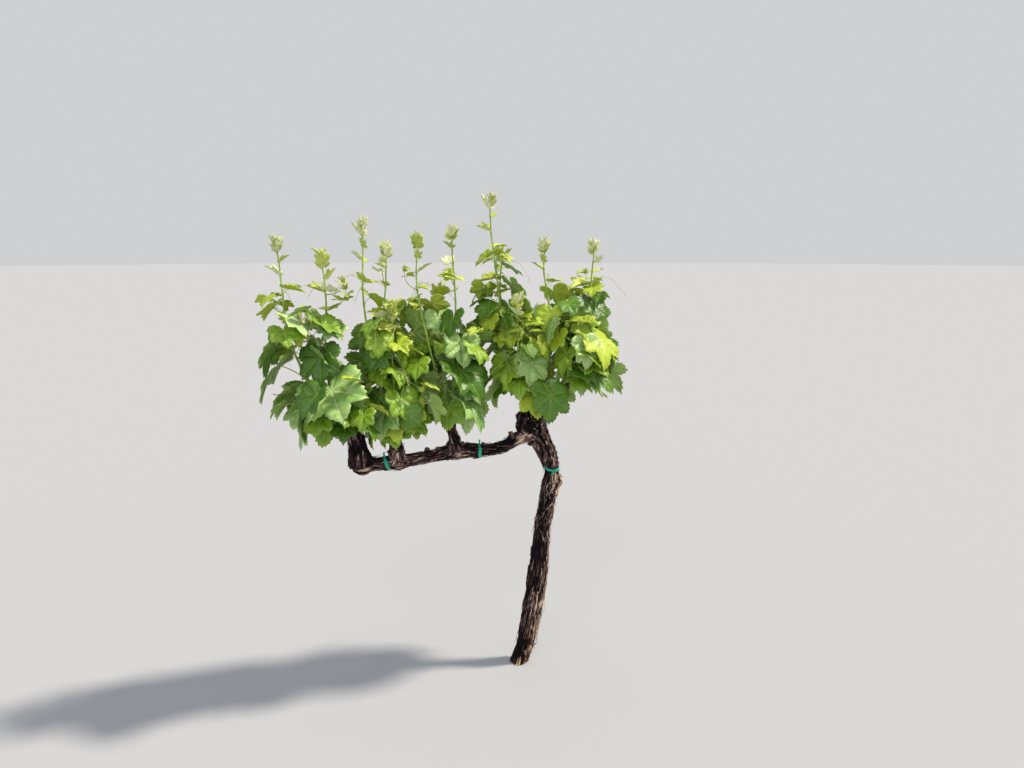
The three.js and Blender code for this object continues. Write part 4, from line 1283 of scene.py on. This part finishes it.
def vein_pattern(tree, place):
    """Masks of a leaf's main and side veins, from the place on its blade: main veins fan out from the stalk
    and side veins leave them at one angle. Side veins are 19 mm apart on the largest leaves."""
    parts = add_node(tree, "ShaderNodeSeparateXYZ", {0: place})
    along = parts.outputs["X"]
    aside = add_node(tree, "ShaderNodeMath", {0: parts.outputs["Y"]}, operation="ABSOLUTE")
    square = add_node(tree, "ShaderNodeMath", {0: aside, 1: aside}, operation="MULTIPLY")
    squares = add_node(tree, "ShaderNodeMath", {0: along, 1: along, 2: square}, operation="MULTIPLY_ADD")
    reach = add_node(tree, "ShaderNodeMath", {0: squares}, operation="SQRT")
    angle = add_node(tree, "ShaderNodeMath", {0: aside, 1: along}, operation="ARCTAN2")
    off = add_node(tree, "ShaderNodeMath", {0: angle}, operation="ABSOLUTE")
    for vein in MAIN_VEINS[1::2]:
        past = add_node(tree, "ShaderNodeMath", {0: angle, 1: float(vein)}, operation="SUBTRACT")
        apart = add_node(tree, "ShaderNodeMath", {0: past}, operation="ABSOLUTE")
        off = add_node(tree, "ShaderNodeMath", {0: off, 1: apart}, operation="MINIMUM")
    sine = add_node(tree, "ShaderNodeMath", {0: off}, operation="SINE")
    cosine = add_node(tree, "ShaderNodeMath", {0: off}, operation="COSINE")
    across = add_node(tree, "ShaderNodeMath", {0: reach, 1: sine}, operation="MULTIPLY")
    forward = add_node(tree, "ShaderNodeMath", {0: reach, 1: cosine}, operation="MULTIPLY")
    slant = -1 / math.tan(SIDE_VEIN_ANGLE)
    step = add_node(tree, "ShaderNodeMath", {0: across, 1: slant, 2: forward}, operation="MULTIPLY_ADD")
    count = add_node(tree, "ShaderNodeMath", {0: step, 1: SIDE_VEIN_SPACING}, operation="DIVIDE")
    beat = add_node(tree, "ShaderNodeMath", {0: count, 1: 0.5}, operation="PINGPONG")
    main, on_line, near_main = (
        add_node(
            tree, "ShaderNodeMapRange",
            {"Value": value, "From Min": start, "From Max": end, "To Min": 1.0, "To Max": 0.0},
            interpolation_type="SMOOTHSTEP",
        )
        for value, start, end in ((across, 0.004, 0.019), (beat, 0.01, 0.09), (across, 0.5, 0.12))
    )
    side = add_node(tree, "ShaderNodeMath", {0: on_line, 1: near_main}, operation="MULTIPLY")
    return main, side, beat


def leaf_skin(name, dark, light, vein, roughness, down=0.0, raised=False):
    """A leaf's skin: paler veins, sunk above and raised below, quilted between them, and cells 5 mm wide on
    the largest leaves. Mottled over a few centimetres, and a little different from leaf to leaf."""
    material, tree = new_material(name)
    place = add_node(tree, "ShaderNodeAttribute", attribute_name="blade").outputs["Vector"]
    main, side, between = vein_pattern(tree, place)
    mottle = add_node(
        tree, "ShaderNodeTexNoise", {"Vector": place, "Scale": 3.5, "Detail": 3.0, "Roughness": 0.65}
    )
    own = add_node(tree, "ShaderNodeSeparateXYZ", {0: place}).outputs["Z"]
    cells = add_node(
        tree, "ShaderNodeTexVoronoi", {"Vector": place, "Scale": 1 / 0.04}, feature="SMOOTH_F1"
    )
    speckled = add_node(tree, "ShaderNodeMath", {0: cells, 1: 0.1, 2: mottle}, operation="MULTIPLY_ADD")
    shade = add_node(tree, "ShaderNodeMath", {0: own, 1: 0.3, 2: speckled}, operation="MULTIPLY_ADD")
    tone = add_node(tree, "ShaderNodeValToRGB", {"Fac": shade}, [(0.42, dark), (0.92, light)])
    both = {0: side, 1: 0.45, 2: main}
    lines = add_node(tree, "ShaderNodeMath", both, operation="MULTIPLY_ADD", use_clamp=True)
    share = add_node(tree, "ShaderNodeMath", {0: lines, 1: 0.6}, operation="MULTIPLY")
    colour = add_node(tree, "ShaderNodeMix", {0: share, 6: tone, 7: linear(vein)}, data_type="RGBA")
    quilt = add_node(tree, "ShaderNodeMath", {0: cells, 1: -0.9, 2: between}, operation="MULTIPLY_ADD")
    low_relief = {"Height": quilt, "Strength": 0.5, "Distance": 0.0017}
    inputs = {
        "Base Color": colour.outputs[2], "Roughness": roughness, "Specular IOR Level": 0.55,
        "Normal": add_node(tree, "ShaderNodeBump", low_relief, invert=raised),
    }
    if down:
        inputs.update({"Sheen Weight": down, "Sheen Roughness": 0.4})
    surface = add_node(tree, "ShaderNodeBsdfPrincipled", inputs)
    add_node(tree, "ShaderNodeOutputMaterial", {"Surface": surface})
    return material


def studio_floor():
    """Pale floor: an even, wholly matt grey."""
    material, tree = new_material("pale_floor")
    matt = {"Base Color": linear("AAADB3"), "Roughness": 1.0, "Specular IOR Level": 0.0}
    surface = add_node(tree, "ShaderNodeBsdfPrincipled", matt)
    add_node(tree, "ShaderNodeOutputMaterial", {"Surface": surface})
    return material


def leaf_finishes():
    """Leaf skins in the order of their numbers: four greens for full-grown leaves with light painted in, as
    light catches them, two for young leaves, then the undersides, one of them with a painted sunlit glow."""
    return [
        # The first four are one leaf green with light painted in: painted shade, the plain green, a painted
        # sunlit glow and a painted sheen
        leaf_skin("vine_leaf_painted_shade", "315C0A", "5A8618", "88A63C", 0.4),
        leaf_skin("vine_leaf_green", "5E8B10", "94B62A", "B2C95E", 0.4),
        leaf_skin("vine_leaf_sunlit", "8FAA14", "B8CB38", "CBD76A", 0.48),
        leaf_skin("vine_leaf_painted_sheen", "629630", "BAD48A", "D6E4B0", 0.38),
        leaf_skin("young_leaf_yellow", "A3B636", "CAD560", "D6DE84", 0.55, down=0.1),
        leaf_skin("young_leaf_downy", "C2CC84", "E6E8BE", "EDEECF", 0.7, down=0.3),
        leaf_skin("vine_leaf_under", "6F983A", "9DBC60", "BCD08A", 0.62, down=0.15, raised=True),
        leaf_skin("vine_leaf_under_sunlit", "98AE20", "B9CC44", "CDD97C", 0.6, raised=True),
        leaf_skin("young_leaf_under_downy", "B9C480", "E2E5BC", "EBEDCC", 0.8, down=0.3, raised=True),
        leaf_skin("young_leaf_under_yellow", "94A63A", "BFCB60", "D2DA84", 0.65, down=0.1, raised=True),
    ]


# The numbers of the leaf skins, and how young a leaf has to be to look young or downy. The chances are
# those of a painted sunlit glow, a painted sheen and a painted shade skin, for large leaves and then for
# the others
SHADED, GREEN, SUNLIT, PAINTED_SHEEN, YELLOW, DOWNY, UNDER, UNDER_SUNLIT, UNDER_DOWNY, UNDER_YELLOW = range(10)
LOOKS_YOUNG, LOOKS_DOWNY = 0.25, 0.7
TIP_LEAF = SimpleNamespace(share=0.22, downy=0.75, larger_downy=0.3)
TONE_CHANCES = ((0.03, 0.37, 0.2), (0.22, 0.17, 0.24))


def leaf_tones(leaf, rng):
    """The finishes of one leaf, by its age and size and by chance: upper skin, then under skin."""
    pick = rng.random()
    if leaf.young > LOOKS_DOWNY:
        if pick < (TIP_LEAF.downy if leaf.share < TIP_LEAF.share else TIP_LEAF.larger_downy):
            return DOWNY, UNDER_DOWNY
        return (YELLOW, UNDER_DOWNY) if pick < 0.5 else (YELLOW, UNDER_YELLOW)
    if leaf.young > LOOKS_YOUNG:
        return (YELLOW, UNDER_SUNLIT) if pick < 0.5 else (SUNLIT, UNDER_SUNLIT)
    sunlit, painted_sheen, shaded = TONE_CHANCES[0 if leaf.share > LARGE_SHARE else 1]
    if pick < sunlit:
        return SUNLIT, UNDER_SUNLIT
    if pick < sunlit + painted_sheen:
        return PAINTED_SHEEN, UNDER
    if pick < sunlit + painted_sheen + shaded:
        return SHADED, UNDER
    return GREEN, UNDER


def warts(stations, count, seed):
    """Knots and healed cuts scattered over a limb, as centres and radii."""
    rng = np.random.default_rng(seed)
    found = []
    for t in rng.uniform(*WARTS.along, count):
        middle, size = line_point(stations[:, :3], t), rng.uniform(*WARTS.size)
        way = rng.normal(size=3)
        way /= np.linalg.norm(way)
        radius = line_radius(stations[:, 3], np.array([t]))[0]
        found.append((*(middle + way * radius * WARTS.out), size))
    return found


def add_stubs(batch, surface, count, rng):
    """Short dead stubs that old pruning left, cut off square."""
    rings, around = surface.relief.shape
    for _ in range(count):
        i = int(rng.uniform(*STUBS.along) * rings)
        ways = surface.outward[i] + rng.normal(0, STUBS.scatter, (around, 3))
        j = int(np.argmax(ways[:, 2]))
        way = surface.outward[i, j] * STUBS.outward + UP + rng.normal(0, STUBS.lean, 3)
        way /= np.linalg.norm(way)
        foot = surface.line[i] + surface.outward[i, j] * surface.radius[i, j] * STUBS.start
        radius = rng.uniform(*STUBS.radius)
        length = rng.uniform(*STUBS.length) + surface.radius[i, j] * (1 - STUBS.start)
        u = np.linspace(0, 1, 10)
        tapered = STUBS.foot + (STUBS.tip - STUBS.foot) * u
        bumpy = radius * (tapered + STUBS.lumps * np.sin(u * 14 + rng.random() * 6))
        add_tube(batch, foot + np.outer(u * length, way), bumpy, 14)


def make_old_wood(cane):
    """The barked limbs, each for its CAD node, with their loose shreds and the ties."""
    bark, tape = old_vine_bark(), tie_tape()
    shreds = [
        loose_bark("loose_bark_dark", "150B0D", "42302F", "7E685E"),
        loose_bark("loose_bark_pale", "3A2D26", "86725F", "C9B59B"),
    ]
    rng = np.random.default_rng(5)
    trunk_tie = np.array([TRUNK_LEAN, 2, TIE_HEIGHT])
    cordon_ties = {name: np.array([x, 0, CORDON_HEIGHT + 5]) for name, x in TIES_ALONG_CORDON.items()}
    spur_feet = [tuple(stations[0]) for name, stations in BRANCHES.items() if stations[0][0] < -50]
    lumps = [*KNOBS, TIE_KNOB, *warts(TRUNK[6:], 12, 1), *warts(TRUNK[:6], 7, 2)]
    arm_lumps = [*spur_feet, *warts(CORDON, 26, 3)]
    surfaces = {
        "trunk": wood_surface(TRUNK, 3, level=True, flare=FLARE, lumps=lumps, ties=[trunk_tie]),
        "cordon": wood_surface(CORDON, 14, spread=0.3, lumps=arm_lumps, ties=list(cordon_ties.values())),
    }
    for number, (name, stations) in enumerate(BRANCHES.items()):
        lumps = warts(stations, 8, 40 + number)
        surfaces[name] = wood_surface(stations, 30 + number, spread=0.35, lumps=lumps)
    for name, surface in surfaces.items():
        add_wood(name, surface, bark)
    batch = Batch()
    add_shreds(batch, surfaces["trunk"], 150, rng, hang=0.85)
    add_shreds(batch, surfaces["trunk"], 130, rng, (3, 11), hang=0.75, sunny=True)
    add_shreds(batch, surfaces["cordon"], 90, rng)
    for name in BRANCHES:
        add_shreds(batch, surfaces[name], 9, rng, (4, 12))
    add_piece("loose_bark", batch, shreds, "bark")
    stubs = Batch()
    add_stubs(stubs, surfaces["cordon"], 6, rng)
    add_piece("pruned_stubs", stubs, [cane], "bark")
    add_tie("tie_trunk", surfaces["trunk"], trunk_tie, tape)
    for name, centre in cordon_ties.items():
        add_tie(name, surfaces["cordon"], centre, tape)


def make_green_growth(vine, cane):
    """Leaves by mass, and shoots, stalks, tendrils, flower clusters and old canes, each kind joined."""
    rng = np.random.default_rng(8)
    tones = np.random.default_rng(12)
    finishes = leaf_finishes()
    rib = soft_stem("leaf_vein", "A9BC62", "CBD698")
    green = soft_stem("green_shoot", "7F9A35", "A5BC55")
    pale = soft_stem("leaf_stalk", "94AC46", "B9C870")
    bud = soft_stem("flower_bud", "8FA84E", "C6D29A")
    ribs, shoots, stalks, tendrils, clusters, canes = (Batch() for _ in range(6))
    every_leaf = []
    for shoot in itertools.chain(*vine.values()):
        base = shoot_at(shoot.fork, shoot.tip, TUFT.start)
        shoot.leaves += tuft(shoot.tip, base, 1.0, rng)
        for twig in shoot.twigs:
            shoot.leaves += tuft(twig.line[-1], twig.line[-2], TUFT.twig, rng)
        every_leaf += shoot.leaves
    for leaf in every_leaf:
        leaf.phase = rng.uniform(0, TAU)
        leaf.pucker = rng.uniform(*PUCKER)
    part_leaves(every_leaf)
    for name, growth in vine.items():
        blades = Batch()
        for shoot in growth:
            add_shoot(shoots, shoot)
            for twig in shoot.twigs:
                add_tube(shoots, line_points(twig.line, 14), np.linspace(*SIDE_TWIG.radii, 14), 7)
            for leaf in shoot.leaves:
                add_blade(blades, leaf, *leaf_tones(leaf, tones), rng)
                add_veins(ribs, leaf)
                add_stalk(stalks, leaf)
            for tendril in shoot.tendrils:
                add_tendril(tendrils, tendril.trail, rng)
            for cluster in shoot.clusters:
                add_cluster(clusters, cluster.trail, rng)
        leaves = add_piece(name.replace("shoots", "leaves"), blades, finishes, "foliage", name)
        add_attribute(leaves, "blade", np.concatenate(blades.marks))
        add_cane(canes, fork_of(MASSES[name][0]))
    masses = list(vine)
    add_piece("leaf_veins", ribs, [rib], "foliage", *masses)
    add_piece("green_shoots", shoots, [green], "foliage", *masses)
    add_piece("leaf_stalks", stalks, [pale], "foliage", *masses)
    add_piece("tendrils", tendrils, [pale], "foliage", *masses)
    add_piece("flower_clusters", clusters, [pale, bud], "foliage", *masses)
    add_piece("last_year_canes", canes, [cane], "bark", *masses)


def add_cane(batch, fork):
    """The stub of last year's cane on a spur's cut end, swollen where the shoots break from it."""
    u = np.linspace(0, 1, 14)
    line = fork.end + np.outer(mix(CANE.above, FORK_HEIGHT + fork.radius * 0.5, u), fork.way)
    radii = fork.radius * (CANE.radius - CANE.taper * u + CANE.swell * np.sin(u * 5.5) ** 2)
    radii[-3:] *= CANE.rounded
    add_tube(batch, line, radii, 16)


# The photograph's viewing angle: how far the camera stands from the vine's foot, in metres, and its turn
CAMERA_PLACE = (-0.913, -2.727, 1.5)
CAMERA_HEADING = 18.0
CAMERA_TILT = 9.5
PHOTO_WIDTH = 1024
FOCAL_PIXELS = 850
SENSOR = 36.0
FLOOR_RADIUS = 60
FLOOR_SIDES = 48
SKY_STRENGTH = 0.7


def set_camera():
    """The photograph's viewing angle, through a lens with the same field of view."""
    data = bpy.data.cameras.new("camera")
    data.sensor_width = SENSOR
    data.lens = SENSOR * FOCAL_PIXELS / PHOTO_WIDTH
    camera = bpy.data.objects.new("camera", data)
    camera.location = CAMERA_PLACE
    camera.rotation_euler = (math.radians(90 - CAMERA_TILT), 0, math.radians(-CAMERA_HEADING))
    bpy.context.scene.collection.objects.link(camera)
    bpy.context.scene.camera = camera


def add_light(name, heading, height, strength, softness, code):
    """A wide soft light, as from a large panel far off. Heading, height and softness are in degrees."""
    data = bpy.data.lights.new(name, "SUN")
    data.energy = strength
    data.angle = math.radians(softness)
    data.color = linear(code)[:3]
    light = bpy.data.objects.new(name, data)
    light.rotation_euler = (math.radians(90 - height), 0, math.radians(heading))
    bpy.context.scene.collection.objects.link(light)


def set_stage():
    """A pale floor under soft studio light: a high key from the right, and fill from the front left."""
    mesh = bpy.data.meshes.new("floor")
    turns = [i / FLOOR_SIDES * TAU for i in range(FLOOR_SIDES)]
    corners = [(FLOOR_RADIUS * math.cos(turn), FLOOR_RADIUS * math.sin(turn), 0) for turn in turns]
    mesh.from_pydata(corners, [], [range(FLOOR_SIDES)])
    mesh.materials.append(studio_floor())
    floor = bpy.data.objects.new("floor", mesh)
    bpy.context.scene.collection.objects.link(floor)
    world = bpy.data.worlds.new("studio")
    world.use_nodes = True
    sky = world.node_tree.nodes["Background"].inputs
    sky["Color"].default_value = linear("F2F3F5")
    sky["Strength"].default_value = SKY_STRENGTH
    bpy.context.scene.world = world
    add_light("key", heading=80, height=55, strength=4.1, softness=6, code="FFF3DF")
    add_light("fill", heading=-30, height=35, strength=0.5, softness=30, code="F2F6FF")
    bpy.context.scene.view_settings.view_transform = "Standard"


cane = cane_bark()
make_old_wood(cane)
make_green_growth(grow_vine(), cane)
set_stage()
set_camera()

bpy.context.view_layer.update()
